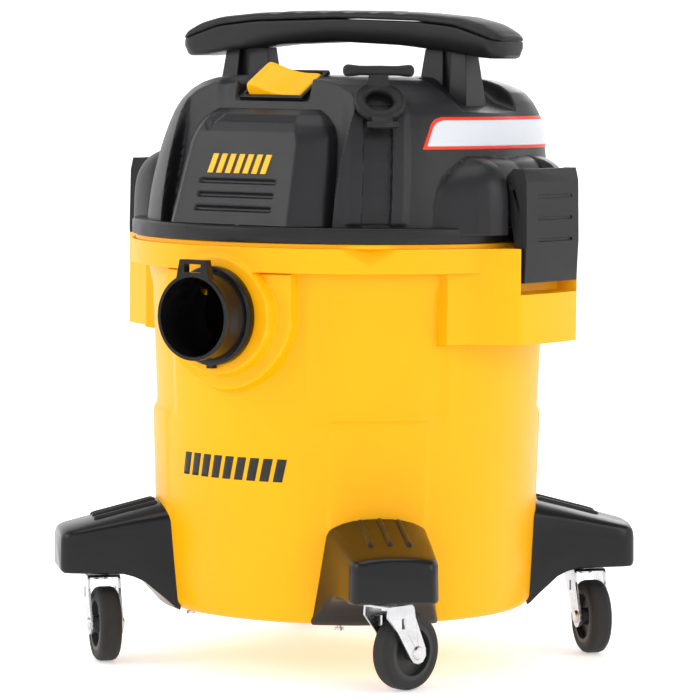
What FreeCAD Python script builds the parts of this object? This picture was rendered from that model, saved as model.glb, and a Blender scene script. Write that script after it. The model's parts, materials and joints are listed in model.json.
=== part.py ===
# Wet-and-dry shop vacuum: a plastic tank on four castered legs, with a lift-off power head that carries
# the motor, fan, float cage, cartridge filter, switch, handle, latches and blower port.
# Units mm.  +Z up, origin on the floor under the tank's axis, hose inlet facing -Y, latches on -X and +X.
import FreeCAD, Part
import os, math
import Sketcher
from FreeCAD import Vector as V, Placement, Rotation

os.makedirs("parts", exist_ok=True)
doc = FreeCAD.newDocument("shop_vacuum")

# ---------------------------------------------------------------- driving dimensions
DIMS = [
    ("tank_base_z", 44.0), ("tank_rim_z", 340.0), ("tank_lip_z", 343.5), ("tank_wall", 3.2),
    ("tank_foot_rad", 152.0), ("tank_mid_rad", 157.0), ("tank_top_rad", 161.5), ("collar_rad", 176.0), ("collar_z", 320.0),
    ("lip_out_rad", 172.5), ("lip_in_rad", 168.5),
    ("inlet_z", 286.0), ("inlet_mouth_y", 207.0), ("inlet_bore_rad", 31.0), ("inlet_out_rad", 33.8), ("inlet_flange_rad", 38.7),
    ("inlet_inner_y", 150.0), ("pad_rad", 61.0), ("pad_y", 167.0), ("boss_rad", 45.0), ("boss_y", 178.0),
    ("blower_z", 398.0), ("blower_mouth_y", 207.0), ("blower_bore_rad", 29.0), ("blower_out_rad", 32.0), ("blower_inner_y", 118.0),
    ("housing_x", 197.5), ("housing_low_z", 264.0), ("notch_half", 38.8), ("notch_z", 304.5),
    ("leg_ring_rad", 201.0), ("leg_tip_rad", 236.0), ("leg_low_z", 72.0),
    ("wheel_rad", 30.0), ("wheel_width", 18.0), ("hub_rad", 22.0), ("hub_width", 17.0), ("axle_rad", 3.0), ("caster_trail", 20.0),
    ("fork_gap", 23.0), ("fork_sheet", 2.0), ("fork_top_z", 68.5), ("stem_rad", 4.0),
    ("rim_rad", 175.4), ("rim_low_z", 344.0), ("rim_top_z", 356.0), ("plate_low_z", 346.5), ("plate_top_z", 350.0), ("air_hole_rad", 27.0),
    ("cover_wall", 3.0), ("deck_z", 472.5),
    ("latch_half", 38.0), ("latch_face_x", 196.0), ("latch_sheet", 3.5), ("latch_low_z", 313.0), ("latch_top_z", 402.0),
    ("latch_pin_x", 183.0), ("latch_pin_z", 388.0), ("latch_pin_rad", 2.5),
    ("filter_out_rad", 76.0), ("filter_in_rad", 52.0), ("filter_low_z", 222.0), ("filter_top_z", 340.0),
    ("cage_rad", 46.0), ("cage_low_z", 214.0), ("float_rad", 30.0), ("float_z", 244.0), ("float_travel", 60.0),
    ("fan_rad", 60.0), ("fan_low_z", 353.0), ("fan_top_z", 386.0), ("shaft_rad", 4.0), ("stator_rad", 43.0), ("armature_rad", 26.0),
    ("post_x_in", 91.5), ("handle_half", 163.5), ("handle_half_y", 23.0),
    ("strap_width", 17.0), ("tbar_rad", 6.0), ("tbar_half", 28.5),
]
sheet = doc.addObject("Spreadsheet::Sheet", "dims")
D = {}
for i, (alias, value) in enumerate(DIMS, start=1):
    sheet.set(f"A{i}", alias)
    sheet.set(f"B{i}", str(value))
    sheet.setAlias(f"B{i}", alias)
    D[alias] = value
doc.recompute()


class _Dims:
    def __getattr__(self, name):
        return getattr(sheet, name)


d = _Dims()


def val(e):
    """A number, or the value of an expression on the sheet."""
    if not isinstance(e, str):
        return float(e)
    out = e
    for alias in sorted(D, key=len, reverse=True):
        out = out.replace("dims." + alias, repr(float(D[alias])))
    total = 0.0
    # sums, differences, products and quotients of plain numbers only
    return float(FreeCAD.Units.Quantity(out).Value)


def bind(obj, prop, e):
    if isinstance(e, str):
        obj.setExpression(prop, e)
    else:
        setattr(obj, prop, e)


def cyl(name, r, h, at, axis=(0, 0, 1)):
    o = doc.addObject("Part::Cylinder", name)
    bind(o, "Radius", r)
    bind(o, "Height", h)
    o.Placement = Placement(V(*at), Rotation(V(0, 0, 1), V(*axis)))
    return o


def box(name, sx, sy, sz, at, rot=None):
    o = doc.addObject("Part::Box", name)
    bind(o, "Length", sx)
    bind(o, "Width", sy)
    bind(o, "Height", sz)
    o.Placement = Placement(V(*at), rot or Rotation())
    return o


def cone(name, r1, r2, h, at, axis=(0, 0, 1)):
    o = doc.addObject("Part::Cone", name)
    bind(o, "Radius1", r1)
    bind(o, "Radius2", r2)
    bind(o, "Height", h)
    o.Placement = Placement(V(*at), Rotation(V(0, 0, 1), V(*axis)))
    return o


def cut(name, a, b):
    o = doc.addObject("Part::Cut", name)
    o.Base, o.Tool = a, b
    return o


def fuse(name, *parts):
    a = parts[0]
    for i, b in enumerate(parts[1:]):
        o = doc.addObject("Part::Fuse", name if i == len(parts) - 2 else f"{name}_f{i}")
        o.Base, o.Tool = a, b
        a = o
    return a


def common(name, a, b):
    o = doc.addObject("Part::Common", name)
    o.Base, o.Tool = a, b
    return o


def feature(name, shape, placement=None):
    o = doc.addObject("Part::Feature", name)
    o.Shape = shape
    if placement is not None:
        o.Placement = placement
    return o


NODES = {}


def node(name, obj):
    obj.Label = name
    NODES[name] = obj
    return obj


def plane_of(body, role):
    return [f for f in body.Origin.OriginFeatures if f.Role == role][0]


def poly_sketch(body, name, pts, role="XZ_Plane"):
    """A closed polyline sketch whose corners are dimensioned from the origin; corners given as sheet expressions stay bound."""
    sk = body.newObject("Sketcher::SketchObject", name)
    sk.AttachmentSupport = (plane_of(body, role), [""])
    sk.MapMode = "FlatFace"
    nums = [(val(a), val(b)) for a, b in pts]
    n = len(pts)
    for i in range(n):
        a, b = nums[i], nums[(i + 1) % n]
        sk.addGeometry(Part.LineSegment(V(a[0], a[1], 0), V(b[0], b[1], 0)), False)
    for i in range(n):
        sk.addConstraint(Sketcher.Constraint("Coincident", i, 2, (i + 1) % n, 1))
    for i, (a, b) in enumerate(pts):
        for kind, e, v in (("DistanceX", a, nums[i][0]), ("DistanceY", b, nums[i][1])):
            c = sk.addConstraint(Sketcher.Constraint(kind, -1, 1, i, 1, v))
            if isinstance(e, str):
                sk.setExpression(f"Constraints[{c}]", e)
    return sk


def revolve_body(name, pts, placement=None):
    """A turned or moulded piece of revolution about its own Z."""
    b = doc.addObject("PartDesign::Body", name)
    sk = poly_sketch(b, name + "_profile", pts)
    r = b.newObject("PartDesign::Revolution", name + "_rev")
    r.Profile = sk
    r.ReferenceAxis = (sk, ["V_Axis"])
    r.Angle = 360.0
    b.Tip = r
    if placement is not None:
        b.Placement = placement
    return b


def pad_body(name, pts, length, role="XZ_Plane", placement=None, mid=True):
    b = doc.addObject("PartDesign::Body", name)
    sk = poly_sketch(b, name + "_profile", pts, role)
    p = b.newObject("PartDesign::Pad", name + "_pad")
    p.Profile = sk
    bind(p, "Length", length)
    p.Midplane = mid
    b.Tip = p
    if placement is not None:
        b.Placement = placement
    return b


def solid_of(shape):
    s = shape.removeSplitter() if len(shape.Solids) == 1 else shape
    return s.Solids[0] if len(s.Solids) == 1 else s


def prism(pts, z0, z1):
    w = Part.makePolygon([V(x, y, z0) for x, y in pts] + [V(pts[0][0], pts[0][1], z0)])
    return Part.Face(w).extrude(V(0, 0, z1 - z0))


def side_prism(pts, y0, y1):
    """pts in X-Z, extruded along Y."""
    w = Part.makePolygon([V(x, y0, z) for x, z in pts] + [V(pts[0][0], y0, pts[0][1])])
    return Part.Face(w).extrude(V(0, y1 - y0, 0))


def poly_loft(*sections):
    return Part.makeLoft([Part.makePolygon([V(*p) for p in s] + [V(*s[0])]) for s in sections], True, True)


# ================================================================ TANK
# Tank: one moulding, turned profile, with latch housings on the sides and the inlet pad at the front.
tank_turn = revolve_body("tank_turn", [
    (0, "dims.tank_base_z"), (143, "dims.tank_base_z"), (149.5, 47), ("dims.tank_foot_rad", 53),
    ("dims.tank_mid_rad", 205), ("dims.tank_top_rad", 318), ("dims.collar_rad", "dims.collar_z"),
    ("dims.collar_rad", "dims.tank_rim_z"), ("dims.lip_out_rad", "dims.tank_rim_z"), ("dims.lip_out_rad", "dims.tank_lip_z"),
    ("dims.lip_in_rad", "dims.tank_lip_z"), ("dims.lip_in_rad", 323.5), ("dims.tank_top_rad - dims.tank_wall", 319),
    ("dims.tank_mid_rad - dims.tank_wall", 205), ("dims.tank_foot_rad - dims.tank_wall", 54), (145, 49.5), (141, 47.6), (0, 47.6)])
doc.recompute()


def housing(sign):
    """Hollow latch housing as four mouldings: lower box, two cheeks beside the notch, and the catch bar."""
    hx, t = d.housing_x, 3.2
    half, corner_x = 41.8, 194.6

    def plan(o):
        arc = Part.Arc(V(corner_x - o, -half + o, 0), V(hx - o, 0, 0), V(corner_x - o, half - o, 0)).toShape()
        pts_a = [(60, -22 + o), (150, -70 + o * 1.1), (160.5, -60.5 + o * 1.1), (corner_x - o, -half + o)]
        edges = [Part.makeLine(V(*pts_a[k], 0), V(*pts_a[k + 1], 0)) for k in range(3)] + [arc]
        pts_b = [(corner_x - o, half - o), (160.5, 60.5 - o * 1.1), (150, 70 - o * 1.1), (60, 22 - o), (60, -22 + o)]
        edges += [Part.makeLine(V(*pts_b[k], 0), V(*pts_b[k + 1], 0)) for k in range(4)]
        return Part.Wire(edges)

    low, nz, top, nh = d.housing_low_z, d.notch_z, d.tank_rim_z, d.notch_half
    wall = Part.Face(Part.makePolygon([V(0, 0, 240), V(157.4, 0, 240), V(158.0, 0, 264), V(160.0, 0, 318), V(160.0, 0, 319.6), V(164.5, 0, 320.4), V(172.0, 0, 325), V(172.0, 0, 360), V(0, 0, 360), V(0, 0, 240)])).revolve(V(), V(0, 0, 1), 360)
    tank = tank_turn.Shape

    def block(o, y0, y1, z0, z1):
        s = Part.Face(plan(o)).extrude(V(0, 0, z1 - z0)).translated(V(0, 0, z0))
        return s.common(Part.makeBox(400, y1 - y0, 400, V(0, y0, 0))).cut(wall).cut(tank)

    res = []
    for y0, y1, z1 in ((-nh, nh, nz), (nh, 80, top), (-80, -nh, top)):
        hollow = block(t, y0 + (t if y0 > -80 else 0), y1 - (t if y1 < 80 else 0), low + t, z1 - t)
        hollow = hollow.cut(Part.makeCylinder(d.tank_top_rad + 0.4, 120, V(0, 0, 220))).cut(Part.makeCylinder(d.collar_rad + t, 60, V(0, 0, d.collar_z - t)))
        res.append(solid_of(block(0.0, y0, y1, low, z1).cut(hollow)))
    res.append(solid_of(side_prism([(174.0, 323), (185, 323), (185, 327), (180.5, 337), (174.0, 337)], -22, 22).cut(Part.makeCylinder(d.collar_rad, 400))))
    rot = Placement(V(), Rotation(V(0, 0, 1), 0 if sign > 0 else 180))
    out = []
    for s in res:
        s = s.copy()
        s.Placement = rot.multiply(s.Placement)
        out.append(s)
    return out


def tank_shape():
    s = tank_turn.Shape.copy()
    iz = d.inlet_z
    # inlet pad (U-shaped raised field) and round boss
    pad = Part.makeCylinder(d.pad_rad, 40, V(0, -d.pad_y, iz), V(0, 1, 0))
    pad = pad.fuse(Part.makeBox(2 * d.pad_rad, 40, d.collar_z + 2 - iz, V(-d.pad_rad, -d.pad_y, iz)))
    pad = pad.common(Part.makeBox(400, 400, 322.0, V(-200, -400, 0)))
    boss = Part.makeCone(d.boss_rad, d.boss_rad + 6, 30, V(0, -d.boss_y, iz), V(0, 1, 0))
    core = Part.makeCylinder(d.tank_mid_rad - 1.5, 400)
    s = s.fuse([pad.cut(core), boss.cut(core)])
    # inlet hole and the port's flange seat, screw holes of the legs
    s = s.cut(Part.makeCylinder(d.inlet_out_rad + 0.05, 60, V(0, -190, iz), V(0, 1, 0)))
    for k in range(4):
        a = math.radians(45 + 90 * k)
        for off in (-26, 26):
            p = V(math.cos(a) * 130 - math.sin(a) * off, math.sin(a) * 130 + math.cos(a) * off, 40)
            s = s.cut(Part.makeCylinder(2.1, 12, p))
    return solid_of(s)


drum = node("drum", feature("drum", tank_shape()))
node("latch_housings", feature("latch_housings", Part.makeCompound(housing(1) + housing(-1))))

# Hose inlet port: tube with flange, mouth ring, locking loop on top and a lug below.
port = revolve_body("inlet_tube", [
    ("dims.inlet_bore_rad", "dims.inlet_inner_y"), ("dims.inlet_out_rad", "dims.inlet_inner_y"), ("dims.inlet_out_rad", "dims.boss_y"),
    ("dims.inlet_flange_rad", "dims.boss_y"), ("dims.inlet_flange_rad", "dims.boss_y + 6.5"), (37.2, "dims.boss_y + 8"), (34.6, "dims.boss_y + 8"),
    (33.0, "dims.inlet_mouth_y - 5"), ("dims.inlet_out_rad", "dims.inlet_mouth_y - 4"), ("dims.inlet_out_rad", "dims.inlet_mouth_y"), ("dims.inlet_bore_rad", "dims.inlet_mouth_y")],
    Placement(V(0, 0, D["inlet_z"]), Rotation(V(1, 0, 0), 90)))
loop_out = feature("loop_out", side_prism([(-16, 314.5), (-12.5, 330.5), (12.5, 330.5), (16, 314.5)], -207.0, -200.0).cut(Part.makeCylinder(d.inlet_out_rad - 0.6, 20, V(0, -210, d.inlet_z), V(0, 1, 0))))
loop_hole = box("loop_hole", 16, 12, 6.5, (-8, -210, 320.6))
loop = cut("loop", loop_out, loop_hole)
lug = box("lug", 6, 6, 4.5, (-3, -184.5, 245))
node("inlet_port", fuse("inlet_port", port, loop, lug))

gasket_ring = revolve_body("inlet_gasket", [(33.95, 174.6), (38.0, 174.6), (38.0, "dims.boss_y"), (33.95, "dims.boss_y")],
                           Placement(V(0, 0, D["inlet_z"]), Rotation(V(1, 0, 0), 90)))
node("inlet_gasket", gasket_ring)
tk = tank_shape()  # gasket seat cut out of the boss face
seat = Part.makeCylinder(38.05, 3.4, V(0, -178.0, d.inlet_z), V(0, 1, 0))
drum.Shape = solid_of(tk.cut(seat))

# Inlet deflector: elbow baffle inside the tank that turns the air down.
defl = Part.makeCylinder(38, 30, V(0, -149.8, d.inlet_z), V(0, 1, 0)).cut(Part.makeCylinder(35.2, 27.0, V(0, -149.8, d.inlet_z), V(0, 1, 0)))
defl = defl.cut(Part.makeBox(100, 60, 60, V(-50, -145.5, d.inlet_z - 70)))
node("inlet_deflector", feature("inlet_deflector", solid_of(defl)))

# Legs: hollow moulded outriggers on the tank's lower corners.
LEG_SIDE = [(143.6, 131.8), (160, 127.4), (228, 109.6), (234, 106.5), (236.2, 101), (236.2, 76), (233.5, 72.0), (182, 72.0), (171, 66), (160.5, 54), (153, 45), (150.4, 40.4), (143.6, 40.4)]


def leg_shape():
    side = side_prism(LEG_SIDE, -60, 60)
    root = [(140, -52, 40), (140, -51.5, 84), (140, -43, 118), (140, -24, 129), (140, 0, 132.5), (140, 24, 129), (140, 43, 118), (140, 51.5, 84), (140, 52, 40)]
    tip = [(240, -33.5, 40), (240, -32.6, 84), (240, -31.2, 103), (240, -28, 112), (240, 0, 114), (240, 28, 112), (240, 31.2, 103), (240, 32.6, 84), (240, 33.5, 40)]
    body = side.common(poly_loft(root, tip))
    # rounded nose in plan
    nose = Part.makeBox(30, 200, 200, V(214, -100, 0)).cut(Part.makeCylinder(36.5, 200, V(200, 0, 0)))
    nose = nose.cut(Part.makeBox(30, 36, 200, V(206.2, -18, 0)))
    body = body.cut(nose)
    inner_side = side_prism([(150, 126.5), (228, 105.6), (232.8, 100), (232.8, 60), (184, 60), (181, 69), (170, 62.5), (158, 48), (150, 42)], -60, 60)
    root2 = [(140, -49, 30), (140, -48.5, 84), (140, -40, 115), (140, -24, 125.5), (140, 0, 129), (140, 24, 125.5), (140, 40, 115), (140, 48.5, 84), (140, 49, 30)]
    tip2 = [(240, -30.5, 30), (240, -29.6, 84), (240, -28.2, 100), (240, -25, 108), (240, 0, 110.5), (240, 25, 108), (240, 28.2, 100), (240, 29.6, 84), (240, 30.5, 30)]
    hollow = inner_side.common(poly_loft(root2, tip2)).cut(nose.translated(V(-3.2, 0, 0)))
    low = Part.makeBox(12.0, 200, 30, V(143, -100, 38))  # solid toe stays under the tank side
    hollow = hollow.cut(low)
    body = body.cut(hollow)
    boss = Part.makeCylinder(10.5, 36, V(d.leg_ring_rad, 0, d.leg_low_z))
    boss = boss.common(poly_loft(root, tip)).common(side)
    ribs = Part.makeBox(70, 2.6, 36, V(160, -1.3, 73)).common(poly_loft(root, tip)).common(side)
    body = body.fuse([boss, ribs])
    body = body.cut(Part.makeCylinder(d.stem_rad + 0.0, 26, V(d.leg_ring_rad, 0, d.leg_low_z - 1)))
    # three raised ribs along the top
    for off, r0, r1 in ((-17, 166, 216), (0, 162, 222), (17, 166, 216)):
        def topz(r):
            return 127.4 + (109.6 - 127.4) * (r - 160) / 68.0
        bar = side_prism([(r0, topz(r0) - 3), (r0 + 1, topz(r0) + 0.9), (r1 - 1, topz(r1) + 0.9), (r1, topz(r1) - 3)], off - 1.6, off + 1.6)
        body = body.fuse(bar)
    # tongue that lies under the tank floor and takes the screws
    tongue = Part.makeBox(36, 76, 3.6, V(118, -38, 40.4)).common(Part.makeCylinder(150.5, 10, V(0, 0, 38)))
    body = body.fuse(tongue)
    return body


def legs():
    raw = leg_shape()
    tank_skin = Part.makeCone(d.tank_foot_rad - (d.tank_mid_rad - d.tank_foot_rad) / 152.0 * 12.9 + 0.05, d.tank_mid_rad + 0.05, 165, V(0, 0, 40.1 + 0.0)).cut(Part.makeCylinder(200, 4.0, V(0, 0, 40)))
    floor_cut = Part.makeCylinder(143.2, 20, V(0, 0, 44.0))
    raw = raw.cut(tank_skin).cut(floor_cut)
    for off in (-26, 26):
        raw = raw.cut(Part.makeCylinder(2.1, 12, V(130, off, 38)))
    return solid_of(raw)


leg = legs()
LEG_AT = {"leg_front_right": -45, "leg_front_left": -135, "leg_rear_left": 135, "leg_rear_right": 45}
for nm, ang in LEG_AT.items():
    node(nm, feature(nm, leg, Placement(V(), Rotation(V(0, 0, 1), ang))))

# Screws that hold the legs from below, two a leg: pan head under the tongue, shank up into the tank floor.
scr = []
for ang in LEG_AT.values():
    for off in (-26, 26):
        a = math.radians(ang)
        x, y = math.cos(a) * 130 - math.sin(a) * off, math.sin(a) * 130 + math.cos(a) * off
        s = Part.makeCylinder(2.0, 8.0, V(x, y, 40.2)).fuse(Part.makeCylinder(4.0, 2.2, V(x, y, 38.2)))
        scr.append(solid_of(s.cut(Part.makeBox(5.6, 0.9, 0.9, V(x - 2.8, y - 0.45, 38.0)))))
node("leg_screws", feature("leg_screws", Part.makeCompound(scr)))

# ---------------------------------------------------------------- CASTERS
CASTERS = {"front_right": (-45, 80.5), "front_left": (-135, -39.6), "rear_left": (135, -53.0), "rear_right": (45, -39.6)}
stems = []
for ang, trail in CASTERS.values():
    a = math.radians(ang)
    x, y = d.leg_ring_rad * math.cos(a), d.leg_ring_rad * math.sin(a)
    s = Part.makeCylinder(d.stem_rad, 24.0, V(x, y, 65.0)).fuse(Part.makeCylinder(7.5, 3.3, V(x, y, 68.7))).fuse(Part.makeCylinder(6.2, 1.6, V(x, y, 63.9)))
    stems.append(solid_of(s))
node("caster_stems", feature("caster_stems", Part.makeCompound(stems)))

for cname, (ang, trail) in CASTERS.items():
    a = math.radians(ang)
    cx, cy = D["leg_ring_rad"] * math.cos(a), D["leg_ring_rad"] * math.sin(a)
    base = Placement(V(cx, cy, 0), Rotation(V(0, 0, 1), trail))
    # fork: bent sheet yoke, local +X is the trailing direction
    outer_plate = pad_body("fork_side_" + cname, [(-13, 68.4), (13, 68.4), (15.5, 66), (17, 58), (28.6, 33), (29.0, 27.0), (25.5, 22.4), (20.5, 21.0), (15.2, 22.6), (11.5, 27), (-2, 47), (-13.5, 60)],
                           "dims.fork_gap + 2 * dims.fork_sheet")
    gap = box("fork_gap_" + cname, 70, "dims.fork_gap", 60, (-25, -D["fork_gap"] / 2, 6.4))
    yoke = cut("fork_yoke_" + cname, outer_plate, gap)
    bore = cyl("fork_bore_" + cname, "dims.stem_rad + 0.06", 6, (0, 0, 64))
    slot = box("fork_slot_" + cname, 3.6, 60, 8, (2, -30, 50))
    hole = cyl("fork_hole_" + cname, "dims.axle_rad", 60, (20, -30, 30), (0, 1, 0))
    y1 = cut("fork_a_" + cname, yoke, bore)
    y2 = cut("fork_b_" + cname, y1, slot)
    y3 = cut("fork_c_" + cname, y2, hole)
    for o in (outer_plate, gap, bore, slot, hole):
        o.Placement = base.multiply(o.Placement)
    node("caster_fork_" + cname, y3)
    wheel_at = base.multiply(Placement(V(D["caster_trail"], 0, D["wheel_rad"]), Rotation(V(1, 0, 0), 90)))
    hub = revolve_body("hub_" + cname, [
        ("dims.axle_rad + 0.06", "-9.5"), (7, "-9.5"), (7, "-4"), (18.5, "-3"), (18.5, "-8.4"), ("dims.hub_rad", "-8.4"),
        ("dims.hub_rad", "8.4"), (18.5, "8.4"), (18.5, 3), (7, 4), (7, 9.5), ("dims.axle_rad + 0.06", 9.5)], wheel_at)
    node("caster_hub_" + cname, hub)
    tyre = revolve_body("tyre_" + cname, [
        ("dims.hub_rad", "-8.4"), (24, "-8.8"), (27.2, "-8.6"), (29.1, "-7"), ("dims.wheel_rad", "-4.4"), ("dims.wheel_rad", 4.4), (29.1, 7), (27.2, 8.6), (24, 8.8), ("dims.hub_rad", 8.4)], wheel_at)
    node("caster_tyre_" + cname, tyre)
    axle = revolve_body("axle_" + cname, [(0, "-15.2"), (4.4, "-15.2"), (5.6, "-13.55"), ("dims.axle_rad", "-13.55"), ("dims.axle_rad", 13.55), (5.6, 13.55), (4.4, 15.2), (0, 15.2)], wheel_at)
    node("caster_axle_" + cname, axle)
doc.recompute()

# ================================================================ POWER HEAD
# Lid base: rim, sealing groove and plate with the air hole.
lid_turn = revolve_body("lid_turn", [
    ("dims.air_hole_rad", "dims.plate_low_z"), (172.8, "dims.plate_low_z"), (172.8, "dims.rim_low_z"),
    ("dims.rim_rad", "dims.rim_low_z"), ("dims.rim_rad", 354.6), (174.2, "dims.rim_top_z"), (163.4, "dims.rim_top_z"), (163.4, "dims.plate_top_z"), ("dims.air_hole_rad", "dims.plate_top_z")])
node("lid_base", lid_turn)

seal = revolve_body("head_seal", [(165.4, 343.9), (171.8, 343.9), (171.8, 346.5), (165.4, 346.5)])
node("head_seal", seal)

# Motor cover: domed shell with a flat deck, side shoulders, latch blisters, hinge ears, switch opening and strap pocket.
DOME = [(163.2, 350.2), (163.2, 356.2), (160.2, 380), (154.2, 407), (150.4, 420), (141.5, 443), (136.0, 452), (128.0, 460.3), (114.0, 468.0), (98.0, 471.8), (0, 472.5)]


def dome_solid(off=0.0):
    pts = [(max(r - off, 0.0) if r > 0 else 0.0, z - (off if z > 357 else 0)) for r, z in DOME]
    if off:
        pts[0] = (pts[0][0], 349.0)
    w = Part.makePolygon([V(0, 0, pts[0][1])] + [V(r, 0, z) for r, z in pts] + [V(0, 0, pts[0][1])])
    return Part.Face(w).revolve(V(0, 0, 0), V(0, 0, 1), 360)


def shoulder_cut(sg, off=0.0):
    """Wedge removed from the dome's top on each side: the shoulders slope down below the handle posts."""
    pts = [(88, 520), (88, 471.5 - off), (118, 451.5 - off), (136, 446.0 - off), (200, 430 - off), (200, 520)]
    s = side_prism([(sg * x, z) for x, z in pts], -78, 78)
    return s


def blister(sg, off=0.0):
    """Rounded hump that backs each latch."""
    hump = [(-62, 350.2), (-60.5, 372), (-50, 396), (-32, 409), (0, 412), (32, 409), (50, 396), (60.5, 372), (62, 350.2)]
    pts = [(y * (62.0 - off) / 62.0, z - (off if z > 351 else 0)) for y, z in hump]
    x0 = 140.0
    w = Part.makePolygon([V(sg * x0, y, z) for y, z in pts] + [V(sg * x0, pts[0][0], pts[0][1])])
    return Part.Face(w).extrude(V(sg * (30.0 - off), 0, 0))


SC = (140.5, 453.0)  # centre of the finger ring; the dome slopes along ss and faces along sn
ss, sn = (-0.66, 0.7513), (0.7513, 0.66)


def sp(a, b):
    """Point a along the slope and b along its normal from the ring's centre."""
    return (SC[0] + a * ss[0] + b * sn[0], SC[1] + a * ss[1] + b * sn[1])


PIVOT = sp(-23.5, 0.4)


def cover_shape():
    outer = dome_solid()
    inner = dome_solid(d.cover_wall)
    for sg in (1, -1):
        outer = outer.cut(shoulder_cut(sg))
        inner = inner.cut(shoulder_cut(sg, d.cover_wall))
    for sg in (1, -1):
        bl = blister(sg)
        outer = outer.fuse(bl)
        inner = inner.fuse(blister(sg, 3.0))
    # flat seat behind the front panel, sloped facet for the switch
    front = side_prism([(-80, 0), (-80, 600), (80, 600), (80, 0)], 0, 1)
    panel_cut = Part.makePolygon([V(-80, -165, 358), V(-80, -132, 358), V(-80, -108, 446), V(-80, -100, 452), V(-80, -165, 452), V(-80, -165, 358)])
    seat_cut = Part.Face(panel_cut).extrude(V(160, 0, 0))
    seat_in = seat_cut.translated(V(0, d.cover_wall, 0))
    slope = Part.makePolygon([V(-33, -170, 451.0), V(-33, -108.3, 451.0), V(-33, -67.0, 474.8), V(-33, -67.0, 490), V(-33, -170, 490), V(-33, -170, 451.0)])
    slope_cut = Part.Face(slope).extrude(V(66, 0, 0))
    slope_in = slope_cut.translated(V(0, 0.8, -3.4))
    outer = outer.cut(seat_cut).cut(slope_cut)
    inner = inner.cut(seat_in).cut(slope_in)
    # strap pocket at the front right corner
    pk = side_prism([sp(-31, -5.4), sp(-31, 40), sp(21, 40), sp(21, -5.4)], -21.2, 21.2)
    pk_in = side_prism([sp(-34, -8.4), sp(-34, 40), sp(24, 40), sp(24, -8.4)], -24.2, 24.2)
    pk.rotate(V(0, 0, 0), V(0, 0, 1), -45)
    pk_in.rotate(V(0, 0, 0), V(0, 0, 1), -45)
    inner = inner.cut(pk_in)
    outer = outer.cut(pk)
    s = outer.cut(inner)
    # hinge ears for the latches
    for sg in (1, -1):
        for y0 in (-34, 28):
            ear = Part.makeBox(17, 6, 15, V(166.0, y0, d.latch_pin_z - 7.5)).fuse(Part.makeCylinder(7.5, 6, V(d.latch_pin_x, y0, d.latch_pin_z), V(0, 1, 0)))
            ear = ear.cut(Part.makeCylinder(d.latch_pin_rad, 8, V(d.latch_pin_x, y0 - 1, d.latch_pin_z), V(0, 1, 0)))
            if sg < 0:
                ear = ear.mirror(V(0, 0, 0), V(1, 0, 0))
            s = s.fuse(ear)
    for y0 in (-13.0, 8.4):
        lug_e = side_prism([sp(-31, -7), sp(-31, -2), (PIVOT[0] + 4.0, PIVOT[1] + 2.4), (PIVOT[0] - 1.0, PIVOT[1] + 5.0), sp(-16, -7)], y0, y0 + 4.6)
        lug_e = lug_e.cut(Part.makeCylinder(2.5, 60, V(PIVOT[0], -30, PIVOT[1]), V(0, 1, 0)))
        lug_e.rotate(V(0, 0, 0), V(0, 0, 1), -45)
        s = s.fuse(lug_e)
    gb = Part.makeCylinder(12.5, 22, V(68, 128.4, 376), V(0, 1, 0))
    s = s.fuse(gb)
    # openings: switch, blower, cord gland
    sw = Part.makeBox(57, 38, 40, V(-28.5, -19, -20))
    sw.Placement = Placement(V(0, -87.6, 463.0), Rotation(V(1, 0, 0), 30))
    s = s.cut(sw)
    s = s.cut(Part.makeCylinder(d.blower_out_rad + 0.05, 80, V(0, 110, d.blower_z), V(0, 1, 0)))
    s = s.cut(Part.makeCylinder(8.05, 40, V(68, 118, 376), V(0, 1, 0)))
    # cooling slots at the back
    for k in range(5):
        for sx in (-1, 1):
            s = s.cut(Part.makeBox(26, 40, 3.0, V(sx * 62 - 13, 120, 396 + 9 * k)))
    # seat for the posts' tenons and screws of the cover
    s = s
    return solid_of(s)


cover = node("motor_cover", feature("motor_cover", cover_shape()))


# Front panel: faceted moulded cover in front of the motor cover.
def panel_solid(o=0.0):
    yb = o  # how far the faces move back
    A = [(-79 + o, -133 + yb, 356.4), (-57.5 + o * 0.6, -160 + yb, 356.4), (57.5 - o * 0.6, -160 + yb, 356.4), (79 - o, -133 + yb, 356.4), (79 - o, -100, 356.4), (-79 + o, -100, 356.4)]
    B = [(-75 + o, -118.5 + yb, 432), (-54 + o * 0.6, -137.5 + yb, 432), (54 - o * 0.6, -137.5 + yb, 432), (75 - o, -118.5 + yb, 432), (75 - o, -90, 432), (-75 + o, -90, 432)]
    C = [(-60 + o, -110 + yb, 446.5 - o), (-51 + o * 0.6, -116 + yb, 446.5 - o), (51 - o * 0.6, -116 + yb, 446.5 - o), (60 - o, -110 + yb, 446.5 - o), (60 - o, -85, 446.5 - o), (-60 + o, -85, 446.5 - o)]
    return poly_loft(A, B).fuse(poly_loft(B, C))


ps = panel_solid()
pin = panel_solid(3.0)
back = Part.Face(Part.makePolygon([V(-100, -131.9, 350), V(-100, -107.7, 446.4), V(-100, -100, 456), V(-100, 0, 456), V(-100, 0, 350), V(-100, -131.9, 350)])).extrude(V(200, 0, 0))
panel = ps.cut(back)
panel_in = pin.common(Part.makeBox(300, 200, 100, V(-150, -300, 359.4)))
panel = panel.cut(panel_in)
for k in range(3):
    z = 367 + 11.5 * k
    yy = -160 + (z - 356) * 22.5 / 76
    panel = panel.cut(Part.makeBox(73, 6, 2.2, V(-36.5, yy - 4.6, z)))
panel = panel.cut(dome_solid(0.0).cut(Part.makeBox(160.2, 60, 120, V(-80.1, -165.0, 350))))
sol = sorted(panel.Solids, key=lambda s: -s.Volume)
node("front_panel", feature("front_panel", sol[0]))

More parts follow.
